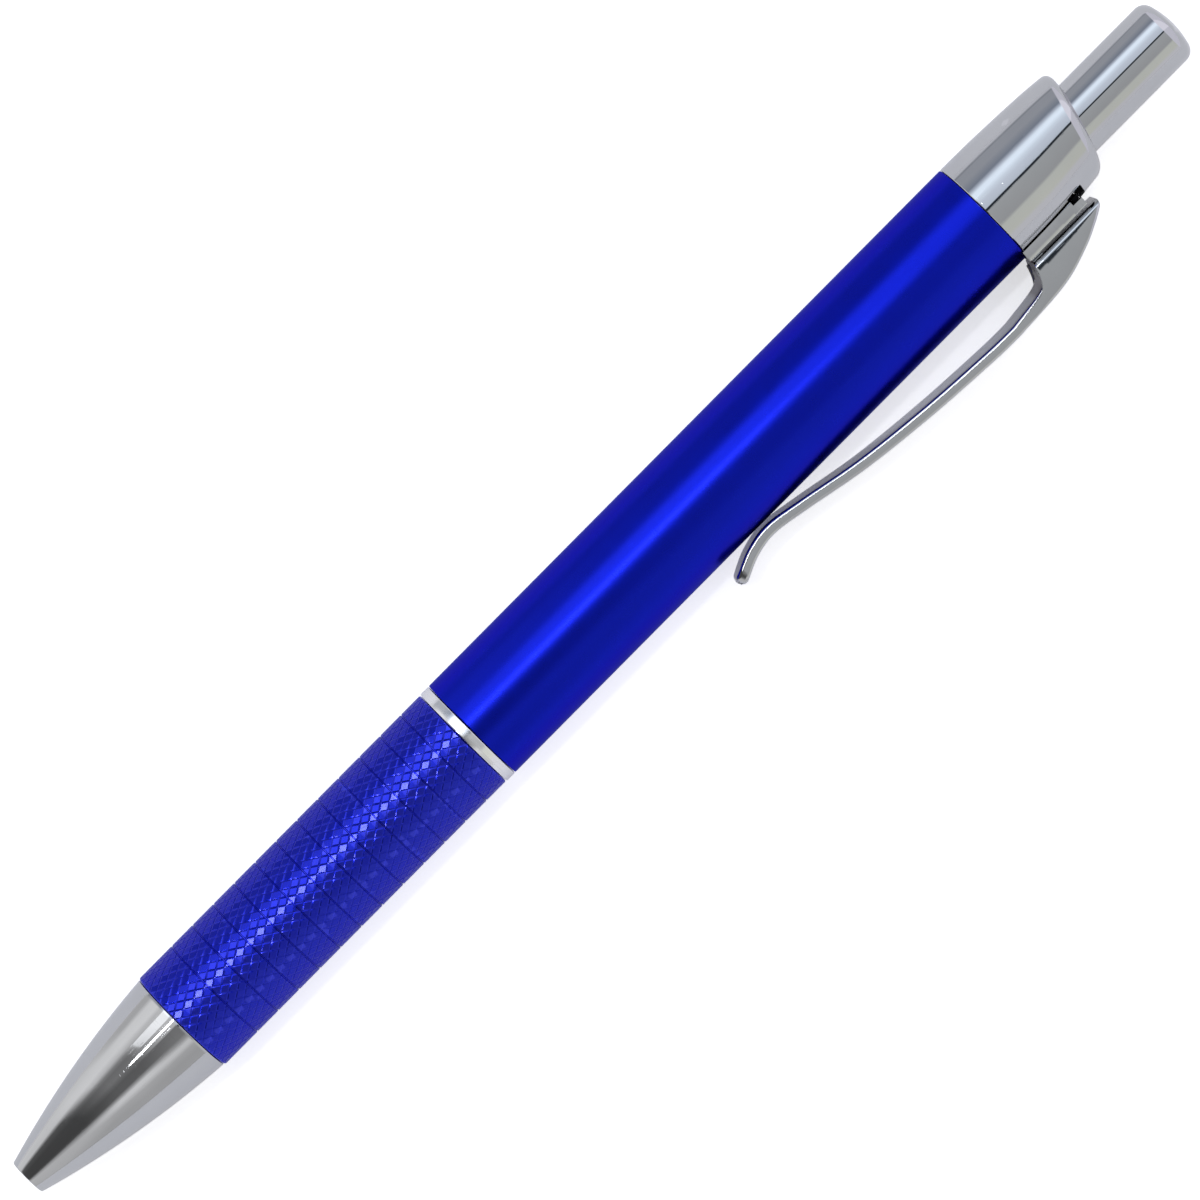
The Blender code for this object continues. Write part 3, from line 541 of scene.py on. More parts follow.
def clip_collar():
    """Chrome cap with a slanted, rounded end, the button's hole and a slot for the clip's tang."""
    start = BARREL_END + SEAM
    hole_edge = 0.3 * MM
    last = COLLAR_END - COLLAR_EDGE
    profile = [Vector((COLLAR_HOLE_RADIUS, COLLAR_BORE_END))]
    profile += arc((COLLAR_HOLE_RADIUS + hole_edge, COLLAR_END - hole_edge), hole_edge, math.pi,
                   math.pi / 2, 5)
    profile += arc((collar_radius(last) - COLLAR_EDGE, last), COLLAR_EDGE, math.pi / 2, 0.0, 8)
    for height in reversed(ladder(start, last, 44)[1:-1]):
        profile.append(Vector((collar_radius(height), height)))
    for point in ((BARREL_RADIUS, start + 0.06 * MM), (BARREL_RADIUS - 0.05 * MM, start),
                  (COLLAR_BORE_RADIUS, start), (COLLAR_BORE_RADIUS, COLLAR_BORE_END)):
        profile.append(Vector(point))
    made = lathe("clip_collar_fine", profile, STEPS_CASING)
    for point in made.data.vertices:
        share = (point.co.z - COLLAR_SLANT_START) / (COLLAR_SLANT_FULL - COLLAR_SLANT_START)
        point.co.z -= COLLAR_HALF_SLANT * smooth_step(share) * point.co.x / COLLAR_END_RADIUS
    outside = 6.0 * MM
    overlap = 0.05 * MM
    carve(made, block("slot_tool", (SLOT_FLOOR, -SLOT_HALF_WIDTH, SLOT_START),
                      (outside, SLOT_HALF_WIDTH, SLOT_WEB_START + overlap)))
    for side in (-1, 1):
        low, high = sorted((side * SLOT_WEB_HALF_WIDTH, side * SLOT_HALF_WIDTH))
        carve(made, block("pocket_tool", (SLOT_FLOOR, low, SLOT_WEB_START),
                          (outside, high, SLOT_END)))
    return shade(made)


# ---- clip

def millimetres(points):
    """Points given in millimetres as (height, radius) vectors in metres."""
    return [Vector((height * MM, radius * MM)) for height, radius in points]


def clip_half_width(height, radius):
    """Half the clip's width: it widens from tail to root and narrows at the wedge's nose."""
    along = (height - CLIP_WIDTH_START) / (CLIP_WIDTH_END - CLIP_WIDTH_START)
    along = min(max(along, 0.0), 1.0)
    width = CLIP_TAIL_HALF_WIDTH + (CLIP_ROOT_HALF_WIDTH - CLIP_TAIL_HALF_WIDTH) * along
    if height > CLIP_NOSE_TAPER_START and radius > (CLIP_FOOT_TOP + CLIP_NOSE_FLOOR) / 2:
        share = (height - CLIP_NOSE_TAPER_START) / (CLIP_NOSE_END - CLIP_NOSE_TAPER_START)
        width -= (CLIP_ROOT_HALF_WIDTH - CLIP_NOSE_HALF_WIDTH) * share ** 2
    if height < CLIP_WIDTH_START:
        width -= (CLIP_WIDTH_START - height) * CLIP_TAIL_TAPER
    return width


def spread(points, count):
    """Points at equal steps along a broken line."""
    lengths = [0.0]
    for a, b in zip(points, points[1:]):
        lengths.append(lengths[-1] + (b - a).length)
    made = []
    for reach in ladder(0.0, lengths[-1], count - 1):
        i = max(n for n in range(len(points) - 1) if lengths[n] <= reach + MERGE)
        share = (reach - lengths[i]) / max(lengths[i + 1] - lengths[i], MERGE)
        made.append(points[i].lerp(points[i + 1], min(share, 1.0)))
    return made


def clip_stations():
    """Stations along the clip, tail to nose, as (inner point, outer point, inset)."""
    spans = 9
    middle = through_points(millimetres(CLIP_ARM), spans)[:-2 * spans // 3]
    half = CLIP_THICKNESS / 2
    pairs = []
    for i, point in enumerate(middle):
        ahead = middle[min(i + 1, len(middle) - 1)] - middle[max(i - 1, 0)]
        across = Vector((-ahead.y, ahead.x)).normalized() * half
        pairs.append((point - across, point + across))
    stations = []
    along = (middle[0] - middle[1]).normalized()
    cap = 6
    for k in range(cap, 0, -1):
        angle = math.pi / 2 * k / (cap + 0.5)
        inset = half * (1 - math.cos(angle))
        shift = along * half * math.sin(angle)
        stations.append((pairs[0][0] + shift, pairs[0][1] + shift, inset))
    stations += [(a, b, 0.0) for a, b in pairs]
    back = through_points([pairs[-1][1]] + millimetres(CLIP_BACK), spans)
    throat = through_points([pairs[-1][0]] + millimetres(CLIP_THROAT), spans)
    sunk = CLIP_FOOT_ROOT - 0.2 * MM
    throat.append(Vector((CLIP_FOOT_START, sunk)))
    before = [p for p in back if p.x < CLIP_FOOT_START]
    neck = 22
    stations += [(a, b, 0.0) for a, b in zip(spread(throat, neck)[1:], spread(before, neck)[1:])]
    edge = CLIP_EDGE
    for point in back[len(before):]:
        if point.x < CLIP_NOSE_END - edge:
            stations.append((Vector((point.x, sunk)), point, 0.0))
    slope = (back[-1] - back[-2]).normalized()
    slope = slope / slope.x
    steps = 5
    for k in range(steps + 1):
        angle = math.pi / 2 * k / (steps + 0.3)
        height = CLIP_NOSE_END - edge + edge * math.sin(angle)
        top = back[-1] + slope * (height - back[-1].x)
        stations.append((Vector((height, sunk)), top, edge * (1 - math.cos(angle))))
    return stations


def clip_section(low, high, inset):
    """One cross-section of the clip as (radius, side, height) points: a rounded rectangle."""
    depth = (high - low).length
    along = (high - low).normalized()
    edge = min(CLIP_EDGE, depth / 2.05)
    overlap = 0.05 * MM
    corner = []
    for angle in ladder(0.0, math.pi / 2, 4):
        corner.append((inset + edge * (1 - math.cos(angle)), inset + edge * (1 - math.sin(angle))))
    if low.y < CLIP_FOOT_ROOT and low.x > CLIP_GAP_START - 0.5 * MM:
        between = [(CLIP_FOOT_TOP + overlap - low.y) / along.y,
                   (CLIP_NOSE_FLOOR - overlap - low.y) / along.y]
    else:
        between = [depth / 3, depth * 2 / 3]
    side = corner + [(mark, inset) for mark in between]
    side += [(depth - mark, gap) for mark, gap in reversed(corner)]
    made = []
    for mark, gap in side:
        place = low + along * mark
        made.append((place.y, clip_half_width(place.x, place.y) - gap, place.x))
    other = [(radius, -width, height) for radius, width, height in reversed(made)]
    shares = (0.6, 0.2, -0.2, -0.6)
    radius, width, height = made[-1]
    face = [(radius, width * share, height) for share in shares]
    radius, width, height = made[0]
    under = [(radius, -width * share, height) for share in shares]
    return made + face + other + under


def clip_body():
    """The clip's arm and head as one loft."""
    return loft("clip_fine", [clip_section(*station) for station in clip_stations()])


def gap_section(height, side):
    """The gap between foot and wedge at a height, as points at one side of the clip."""
    half = clip_half_width(min(height, CLIP_NOSE_END), CLIP_NOSE_FLOOR) + 0.03 * MM
    lip = 0.15 * MM
    play = 0.01 * MM
    low = CLIP_FOOT_TOP - play
    high = CLIP_NOSE_FLOOR + play
    outside = half + MM
    inside = CLIP_WEB_HALF_WIDTH - 0.3 * MM
    made = [(low, inside), (high, inside)]
    for angle in ladder(0.0, math.pi / 2, 8):
        made.append((high + CLIP_GAP_FLARE * (1 - math.cos(angle)),
                     half - CLIP_GAP_FLARE * (1 - math.sin(angle))))
    made += [(high + CLIP_GAP_FLARE, outside), (low - lip, outside)]
    for angle in reversed(ladder(0.0, math.pi / 2, 4)):
        made.append((low - lip * (1 - math.cos(angle)), half - lip * (1 - math.sin(angle))))
    return [(radius, side * width, height) for radius, width in made]


def gap_tool(side):
    """Cutter that opens the gap at one side of the clip, with both its edges rounded."""
    heights = ladder(CLIP_FOOT_START - 0.3 * MM, CLIP_NOSE_END + MM, 24)
    return loft("gap_side_tool", [gap_section(height, side) for height in heights])


def clip():
    """Spring clip: arm, wedge, foot shaped to the collar and the tang in its slot."""
    made = clip_body()
    bottom = BARREL_END - SADDLE_REACH
    profile = [Vector((0.0, COLLAR_END))]
    for height in reversed(ladder(BARREL_END, COLLAR_END, 24)):
        profile.append(Vector((collar_radius(height) + CLIP_CLEARANCE, height)))
    profile += [Vector((BARREL_RADIUS + CLIP_CLEARANCE, bottom)), Vector((0.0, bottom))]
    carve(made, lathe("saddle_tool", profile, STEPS_CASING, closed=False))
    root = CLIP_FOOT_ROOT - MM
    wide = 2 * CLIP_ROOT_HALF_WIDTH
    past = CLIP_NOSE_END + 2 * MM
    carve(made, block("gap_tool", (CLIP_FOOT_TOP, -CLIP_WEB_HALF_WIDTH, CLIP_GAP_START),
                      (CLIP_NOSE_FLOOR, CLIP_WEB_HALF_WIDTH, past)))
    for side in (-1, 1):
        carve(made, gap_tool(side))
        low, high = sorted((side * SLOT_WEB_HALF_WIDTH, side * wide))
        carve(made, block("undercut_tool", (root, low, CLIP_UNDERCUT_START),
                          (CLIP_UNDERCUT_TOP, high, CLIP_NOSE_END)))
    carve(made, block("end_tool", (root, -wide, CLIP_FOOT_END),
                      (CLIP_NOSE_FLOOR - 0.08 * MM, wide, past)))
    tang_top = (CLIP_FOOT_TOP + collar_radius(TANG_START)) / 2
    tang = block("tang_tool", (TANG_TIP, -TANG_HALF_WIDTH, TANG_START),
                 (tang_top, TANG_HALF_WIDTH, TANG_END), 0.08 * MM)
    return shade(carve(made, tang, "UNION"), 40.0)


# ---- button, point and spring

def push_button():
    """Hollow button with a domed end, a rounded edge and its flange."""
    rim = BUTTON_RADIUS - BUTTON_EDGE
    lean = math.asin(rim / (1 - BUTTON_EDGE / BUTTON_DOME_RADIUS) / BUTTON_DOME_RADIUS)
    centre = PEN_LENGTH - BUTTON_DOME_RADIUS
    meet = math.pi / 2 - lean
    edge_centre = centre + (BUTTON_DOME_RADIUS - BUTTON_EDGE) * math.cos(lean)
    neck = BUTTON_START + BUTTON_FLANGE_LENGTH
    profile = [Vector((0.0, PEN_LENGTH))]
    profile += arc((0.0, centre), BUTTON_DOME_RADIUS, math.pi / 2, meet, 8)[1:-1]
    profile += arc((rim, edge_centre), BUTTON_EDGE, meet, 0.0, 10)
    profile += [Vector((BUTTON_RADIUS, neck)), Vector((BUTTON_FLANGE_RADIUS, neck)),
                Vector((BUTTON_FLANGE_RADIUS, BUTTON_START)), Vector((BUTTON_BORE, BUTTON_START)),
                Vector((BUTTON_BORE, BUTTON_BORE_END)), Vector((0.0, BUTTON_BORE_END))]
    return shade(lathe("push_button_fine", profile, STEPS_INNER, closed=False))


def writing_ball():
    """The rolling ball, turned about the pen's axis."""
    profile = arc((0.0, BALL_CENTRE), BALL_RADIUS, math.pi / 2, -math.pi / 2, 24)
    return shade(lathe("writing_ball_fine", profile, STEPS_POINT, closed=False))


def point_cone():
    """Turned point with a rolled lip round the ball, and a stem."""
    lip = 0.04 * MM
    socket = BALL_RADIUS + 0.03 * MM
    seat_start = BALL_CENTRE + 0.6 * BALL_RADIUS
    seat_end = BALL_CENTRE + 1.2 * BALL_RADIUS
    mouth = math.sqrt(BALL_RADIUS ** 2 - (BALL_CENTRE - CONE_MOUTH) ** 2) + 0.02 * MM
    corners = [(POINT_STEM_RADIUS, POINT_STEM_END, 0.0), (POINT_STEM_RADIUS, POINT_SHOULDER, 0.0),
               (POINT_RADIUS, POINT_SHOULDER, 0.05 * MM), (POINT_RADIUS, CONE_END, 0.6 * MM),
               (mouth + 2 * lip, CONE_MOUTH, 0.03 * MM), (mouth, CONE_MOUTH, 0.0),
               (socket, BALL_CENTRE, 0.0), (socket, seat_start, 0.0),
               (INK_CHANNEL_RADIUS, seat_end, 0.0), (INK_CHANNEL_RADIUS, POINT_STEM_END, 0.0)]
    return shade(lathe("point_cone_fine", fillet(corners, 4), STEPS_POINT))


def spring_height(turn):
    """Height of the wire after a number of turns: close turns at both ends, open between."""
    total = SPRING_TURNS + 2 * SPRING_END_TURNS
    low = SPRING_START + SPRING_WIRE_RADIUS
    high = SPRING_END - SPRING_WIRE_RADIUS
    if turn <= SPRING_END_TURNS:
        return low + turn * SPRING_END_PITCH
    if turn >= total - SPRING_END_TURNS:
        return high - (total - turn) * SPRING_END_PITCH
    end_rise = SPRING_END_TURNS * SPRING_END_PITCH
    open_pitch = (high - low - 2 * end_rise) / SPRING_TURNS
    return low + end_rise + (turn - SPRING_END_TURNS) * open_pitch


def return_spring():
    """Compression spring of round wire, as one tube mesh with flat ends."""
    sides = 12
    total = SPRING_TURNS + 2 * SPRING_END_TURNS
    angles = [2 * math.pi * k / sides for k in range(sides)]
    up = Vector((0.0, 0.0, 1.0))
    sections = []
    for turn in ladder(0.0, total, int(total * SPRING_POINTS_PER_TURN)):
        out = Vector(polar(1.0, 2 * math.pi * turn, 0.0))
        centre = out * SPRING_MEAN_RADIUS + up * spring_height(turn)
        ring = [out * math.cos(a) + up * math.sin(a) for a in angles]
        sections.append([centre + offset * SPRING_WIRE_RADIUS for offset in ring])
    return shade(loft("return_spring_fine", sections), 50.0)


# ---- finishes

class Nodes:
    """A node tree, with short calls for the nodes that the finishes and the studio use."""

    def __init__(self, owner):
        owner.use_nodes = True
        self.owner = owner
        self.tree = owner.node_tree
        self.shader = self.tree.nodes.get("Principled BSDF")

    def put(self, socket, value):
        """Set a socket to a value, or link another node's output to it."""
        if isinstance(value, bpy.types.NodeSocket):
            self.tree.links.new(value, socket)
        else:
            socket.default_value = value

    def add(self, kind, inputs=(), **settings):
        """A new node with its settings, and with values or other nodes' outputs at its inputs."""
        node = self.tree.nodes.new("ShaderNode" + kind)
        for name, value in settings.items():
            setattr(node, name, value)
        for socket, value in dict(inputs).items():
            self.put(node.inputs[socket], value)
        return node

    def set(self, **values):
        """Values on the shader's own sockets."""
        for name, value in values.items():
            self.put(self.shader.inputs[name.replace("_", " ")], value)

    def between(self, source, low, high, to_low=0.0, to_high=1.0):
        """Map a range of values to another, and hold the ends."""
        return self.add("MapRange", {"Value": source, "From Min": low, "From Max": high,
                                     "To Min": to_low, "To Max": to_high}).outputs["Result"]

    def math(self, operation, first, second=0.0):
        """A sum, product or other operation on one or two values."""
        return self.add("Math", {0: first, 1: second}, operation=operation).outputs["Value"]

    def product(self, *values):
        """Several values multiplied together."""
        if len(values) == 1:
            return values[0]
        half = len(values) // 2
        return self.math("MULTIPLY", self.product(*values[:half]), self.product(*values[half:]))

    def mix(self, share, first, second):
        """A colour between two, each a tuple or another node's output."""
        node = self.add("Mix", {"Factor": share}, data_type="RGBA")
        sockets = [socket for socket in node.inputs if socket.type == "RGBA"]
        for socket, value in zip(sockets, (first, second)):
            self.put(socket, (*value, 1.0) if isinstance(value, tuple) else value)
        return [socket for socket in node.outputs if socket.type == "RGBA"][0]


class Finish(Nodes):
    """A material of a piece, worked out in the pen's frame."""

    def __init__(self, name, **values):
        super().__init__(bpy.data.materials.new(name))
        self.set(**values)
        turn = PEN.inverted()
        source = self.add("TexCoord").outputs["Object"]
        self.place = self.add("Mapping", {"Vector": source, "Location": turn.to_translation(),
                                          "Rotation": turn.to_euler("XYZ"),
                                          "Scale": turn.to_scale()}).outputs["Vector"]

    def axes(self):
        """The pen's coordinates as three separate values."""
        return self.add("SeparateXYZ", {"Vector": self.place}).outputs[:]

    def noise(self, scale, detail=2.0, roughness=0.5, stretch=None):
        """Noise with features of about 1 / scale metres, drawn out where stretch is below 1."""
        place = self.place
        if stretch is not None:
            place = self.add("Mapping", {"Vector": place, "Scale": stretch}).outputs["Vector"]
        return self.add("TexNoise", {"Vector": place, "Scale": scale, "Detail": detail,
                                     "Roughness": roughness}).outputs["Fac"]

    def bump(self, source, distance, strength=1.0, before=None):
        """Relief of a given height in metres, on top of any earlier relief."""
        inputs = {"Height": source, "Distance": distance, "Strength": strength}
        if before is not None:
            inputs["Normal"] = before
        return self.add("Bump", inputs).outputs["Normal"]

    def edges(self, low, high, to_low=0.0, to_high=1.0):
        """A value that changes from hollows and flat faces to outer edges."""
        point = self.add("NewGeometry").outputs["Pointiness"]
        return self.between(point, low, high, to_low, to_high)

    def beyond(self, source, limit, blur=0.01 * MM):
        """1 beyond a limit and 0 before it."""
        return self.between(source, limit - blur, limit)

    def short_of(self, source, limit, blur=0.01 * MM):
        """1 before a limit and 0 beyond it."""
        return self.between(source, limit, limit + blur, 1.0, 0.0)

    def done(self, colour, roughness, normal):
        """The material, with its colour, roughness and relief."""
        self.set(Base_Color=colour, Roughness=roughness, Normal=normal)
        return self.owner


def slot_inside(made):
    """1 on the faces that the collar's slot leaves inside its skin: where near-black shade is
    painted.
    """
    across, aside, along = made.axes()
    square = made.math("ADD", made.product(across, across), made.product(aside, aside))
    taper = (collar_radius(SLOT_START) - collar_radius(SLOT_END)) / (SLOT_END - SLOT_START)
    skin = made.math("ADD", made.math("SQRT", square), made.product(along, taper))
    limit = collar_radius(SLOT_START) + taper * SLOT_START
    return made.product(made.short_of(skin, limit - 0.04 * MM),
                        made.beyond(across, SLOT_FLOOR - 0.01 * MM),
                        made.beyond(along, SLOT_START - 0.01 * MM),
                        made.short_of(along, SLOT_END + 0.01 * MM))


def under_foot(made):
    """1 on the faces under the foot's end and on the tang: where near-black shade is painted."""
    across, _, along = made.axes()
    return made.product(made.short_of(across, CLIP_UNDERCUT_TOP + 0.01 * MM, 0.02 * MM),
                        made.beyond(along, CLIP_UNDERCUT_START - 0.01 * MM))


def in_throat(made):
    """1 on the clip's inner faces where the arm meets the foot, and 0 at its edges: where a brown
    reflection is painted.
    """
    across, aside, along = made.axes()
    soft = 0.4 * MM
    return made.product(made.beyond(along, THROAT_START + soft, soft),
                        made.short_of(along, CLIP_FOOT_START + soft / 4, soft / 4),
                        made.short_of(across, THROAT_TOP - soft / 2, soft / 2),
                        made.short_of(made.math("ABSOLUTE", aside), THROAT_HALF_WIDTH - soft / 8,
                                      soft / 8))


def chrome(name, painted_shade_faces=None, painted_reflection_faces=None):
    """Bright plate over moulded plastic: slightly wavy, with hairlines.

    It has near-black painted shade, dull, deep in the collar's slot and under the clip's foot, and
    a brown, dull painted reflection in the clip's throat.
    """
    made = Finish(name, Metallic=1.0)
    colour = made.mix(made.noise(260.0, 3.0), (0.51, 0.515, 0.53), (0.56, 0.565, 0.58))
    colour = made.mix(made.edges(0.54, 0.60), colour, (0.62, 0.62, 0.64))
    hairs = made.between(made.noise(9000.0, 2.0, 0.6, (1.0, 1.0, 0.03)), 0.62, 0.72)
    cross_hairs = made.between(made.noise(7000.0, 2.0, 0.6, (0.05, 0.05, 1.0)), 0.66, 0.76)
    marks = made.math("MAXIMUM", hairs, cross_hairs)
    smear = made.between(made.noise(420.0, 4.0), 0.35, 0.75, 0.015, 0.065)
    roughness = made.math("ADD", smear, made.product(marks, 0.09))
    wave = made.bump(made.noise(170.0, 1.0), 0.008 * MM)
    relief = made.bump(marks, -0.0012 * MM, 0.6, wave)
    # Painted light: near-black painted shade and a brown painted reflection, each on the faces its
    # mask picks out.
    patches = ((painted_reflection_faces, (0.17, 0.14, 0.155), 0.12), (painted_shade_faces, (0.006, 0.006, 0.007), 0.5))
    for faces, tint, dulling in patches:
        if faces is not None:
            share = faces(made)
            colour = made.mix(share, colour, tint)
            roughness = made.math("ADD", roughness, made.product(share, dulling))
    return made.done(colour, roughness, relief)


def blue_anodised(name, knurled=False):
    """Dyed satin aluminium: fine blasted grain under a clear oxide, paler on rubbed edges, with
    painted shade in the knurl's grooves.
    """
    made = Finish(name, Metallic=1.0, Coat_IOR=1.5, Specular_Tint=(0.15, 0.22, 0.7, 1.0))
    grain = made.noise(9000.0, 3.0, 0.65)
    deep = made.mix(made.noise(140.0, 3.0), (0.0003, 0.0065, 0.41), (0.0004, 0.0080, 0.46))
    colour = made.mix(made.between(grain, 0.35, 0.70, 0.0, 0.5), deep, (0.0010, 0.012, 0.52))
    relief = None
    if knurled:
        made.set(Coat_Weight=0.50, Coat_Roughness=0.10)
        # Painted shade: a darker blue in the knurl's grooves and hollows.
        colour = made.mix(made.edges(0.42, 0.49, 0.7, 0.0), colour, (0.0002, 0.003, 0.22))
        colour = made.mix(made.edges(0.52, 0.58), colour, (0.02, 0.03, 0.60))
        roughness = made.between(made.noise(2600.0, 2.0), 0.3, 0.7, 0.18, 0.28)
        relief = made.bump(made.noise(900.0, 1.0), 0.003 * MM)
    else:
        made.set(Coat_Weight=0.15, Coat_Roughness=0.25)
        colour = made.mix(made.edges(0.53, 0.60), colour, (0.06, 0.08, 0.55))
        roughness = made.between(made.noise(600.0, 4.0), 0.3, 0.7, 0.26, 0.32)
    return made.done(colour, roughness, made.bump(grain, 0.0012 * MM, 0.6, relief))


def bright_aluminium(name):
    """Diamond-turned aluminium: fine rings from the tool, and a few nicks."""
    made = Finish(name, Metallic=1.0)
    rings = made.noise(30000.0, 2.0, 0.6, (0.004, 0.004, 1.0))
    colour = made.mix(made.noise(500.0, 3.0), (0.78, 0.78, 0.80), (0.88, 0.88, 0.90))
    colour = made.mix(made.between(rings, 0.55, 0.75, 0.0, 0.5), colour, (0.60, 0.60, 0.63))
    roughness = made.between(made.noise(1500.0, 3.0), 0.3, 0.7, 0.10, 0.20)
    return made.done(colour, roughness, made.bump(rings, 0.003 * MM, 0.7))


def moulded(name, dark, pale, low, high):
    """Moulded plastic: faint flow clouds, fine spark-eroded texture and rubbed edges."""
    made = Finish(name)
    colour = made.mix(made.noise(220.0, 4.0, 0.6), dark, pale)
    rubbed = tuple(min(1.0, c * 1.25 + 0.02) for c in pale)
    colour = made.mix(made.edges(0.52, 0.58), colour, rubbed)
    roughness = made.between(made.noise(1800.0, 3.0), 0.3, 0.7, low, high)
    return made.done(colour, roughness, made.bump(made.noise(9000.0, 3.0), 0.004 * MM, 0.6))


def turned_metal(name, dark, pale, low, high):
    """Turned or drawn metal: tool rings around the axis, uneven tarnish and bright edges."""
    made = Finish(name, Metallic=1.0)
    rings = made.noise(16000.0, 2.0, 0.6, (0.01, 0.01, 1.0))
    tarnish = made.noise(350.0, 4.0, 0.6)
    colour = made.mix(tarnish, dark, pale)
    colour = made.mix(made.edges(0.53, 0.60), colour, tuple(min(1.0, c * 1.15) for c in pale))
    roughness = made.between(made.product(rings, tarnish), 0.15, 0.40, low, high)
    return made.done(colour, roughness, made.bump(rings, 0.004 * MM, 0.6))


def thick_fluid(name, dark, pale):
    """Ink or grease behind the reservoir's wall: glossy, streaked along the tube."""
    made = Finish(name)
    streak = made.noise(1500.0, 3.0, 0.6, (1.0, 1.0, 0.15))
    roughness = made.between(made.noise(900.0, 2.0), 0.3, 0.7, 0.10, 0.28)
    return made.done(made.mix(streak, dark, pale), roughness, made.bump(streak, 0.004 * MM, 0.5))


def repaint(node, material):
    """Put a finish on a CAD node that stays as it is."""
    made = frame["nodes"][node]
    if made.material_slots:
        for place in made.material_slots:
            place.material = material
    else:
        made.data.materials.append(material)


# ---- the pen

def build_pen():
    """All the new pieces, each with its finish and its body."""
    satin = blue_anodised("blue_anodised_satin")
    knurled = blue_anodised("blue_anodised_knurled", knurled=True)
    turned = bright_aluminium("bright_turned_ring")
    plate = chrome("chrome_plate_fine")
    # The collar's and the clip's chrome carry painted shade, and the clip's a painted reflection,
    # through their masks.
    collar_plate = chrome("chrome_plate_collar", slot_inside)
    clip_plate = chrome("chrome_plate_clip", under_foot, in_throat)
    steel = turned_metal("spring_wire", (0.42, 0.42, 0.43), (0.58, 0.58, 0.59), 0.16, 0.34)
    nickel = turned_metal("point_metal", (0.52, 0.50, 0.45), (0.70, 0.68, 0.62), 0.12, 0.28)
    hard = turned_metal("ball_metal", (0.22, 0.22, 0.24), (0.36, 0.36, 0.38), 0.08, 0.20)
    pieces = ((nose_cone, plate, "chrome_plate", "casing"),
              (grip_sleeve, knurled, "blue_anodised", "casing"),
              (trim_ring, turned, "bright_aluminium", "casing"),
              (barrel_tube, satin, "blue_anodised", "casing"),
              (clip_collar, collar_plate, "chrome_plate", "casing"),
              (clip, clip_plate, "chrome_plate", "clip"),
              (push_button, plate, "chrome_plate", "button"),
              (return_spring, steel, "spring_steel", "casing"),
              (point_cone, nickel, "nickel_silver", "refill"),
              (writing_ball, hard, "carbide", "ball"))
    made = {}
    for build, finish, slot, body in pieces:
        node = build.__name__
        made[node] = finish_piece(build(), finish, body, node)
    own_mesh(made["return_spring"])


def paint_hidden_nodes():
    """Finishes for the CAD nodes inside the casing."""
    black = moulded("black_moulded", (0.012, 0.012, 0.014), (0.030, 0.030, 0.032), 0.38, 0.58)
    white = moulded("white_acetal_moulded", (0.72, 0.72, 0.68), (0.86, 0.86, 0.83), 0.30, 0.46)
    grey = moulded("grey_acetal_moulded", (0.28, 0.29, 0.31), (0.38, 0.39, 0.41), 0.32, 0.48)
    brass = turned_metal("brass_turned", (0.62, 0.43, 0.16), (0.82, 0.62, 0.28), 0.16, 0.34)
    steel = turned_metal("reservoir_steel", (0.48, 0.48, 0.47), (0.66, 0.66, 0.64), 0.18, 0.36)
    ink = thick_fluid("blue_ink_thick", (0.002, 0.003, 0.06), (0.006, 0.010, 0.16))
    grease = thick_fluid("grease_clear", (0.60, 0.55, 0.38), (0.78, 0.74, 0.56))
    finishes = {"grip_liner": black, "barrel_coupling": black, "collar_plug": black,
                "reservoir_plug": black, "cam_sleeve": white, "rotor_cam": white, "plunger": grey,
                "tip_holder": brass, "reservoir_tube": steel, "ink_column": ink,
                "ink_follower": grease}
    for node, finish in finishes.items():
        repaint(node, finish)


# ---- studio

FLOOR_SIZE = 6.0
VIEW_ELEVATION = 81.5
VIEW_ROLL = 45.25
VIEW_DISTANCE = 0.84
VIEW_WIDTH = 103.1 * MM
SENSOR = 36.0
VIEW_CLIP = (0.01, 20.0)
WHITE = (1.0, 1.0, 1.0, 1.0)
# The table's own glow in reflections, and to the eye
FLOOR_GLOW = (0.10, 0.62)
LIGHT_DISTANCE = 0.9
LIGHT_COLOUR = (0.96, 0.98, 1.0)
# Soft lights: name, degrees from overhead towards +Y, span of X, width and radiance
SOFTBOXES = [("key_softbox", 24.0, (-0.32, 0.085), 0.28, 0.75),
             ("strip_light", 6.0, (-0.36, 0.085), 0.05, 14.0)]


def floor():
    """Plain white table top, over-exposed to the eye as on a light table."""
    shape = bmesh.new()
    bmesh.ops.create_grid(shape, x_segments=8, y_segments=8, size=FLOOR_SIZE / 2)
    made = add_shape("table_top", shape, Matrix.Identity(4))
    paint = Nodes(bpy.data.materials.new("table_white"))
    seen = paint.add("LightPath").outputs["Is Camera Ray"]
    paint.set(Base_Color=(0.86, 0.86, 0.87, 1.0), Roughness=0.9, Specular_IOR_Level=0.0,
              Emission_Color=WHITE, Emission_Strength=paint.between(seen, 0.0, 1.0, *FLOOR_GLOW))
    made.data.materials.append(paint.owner)


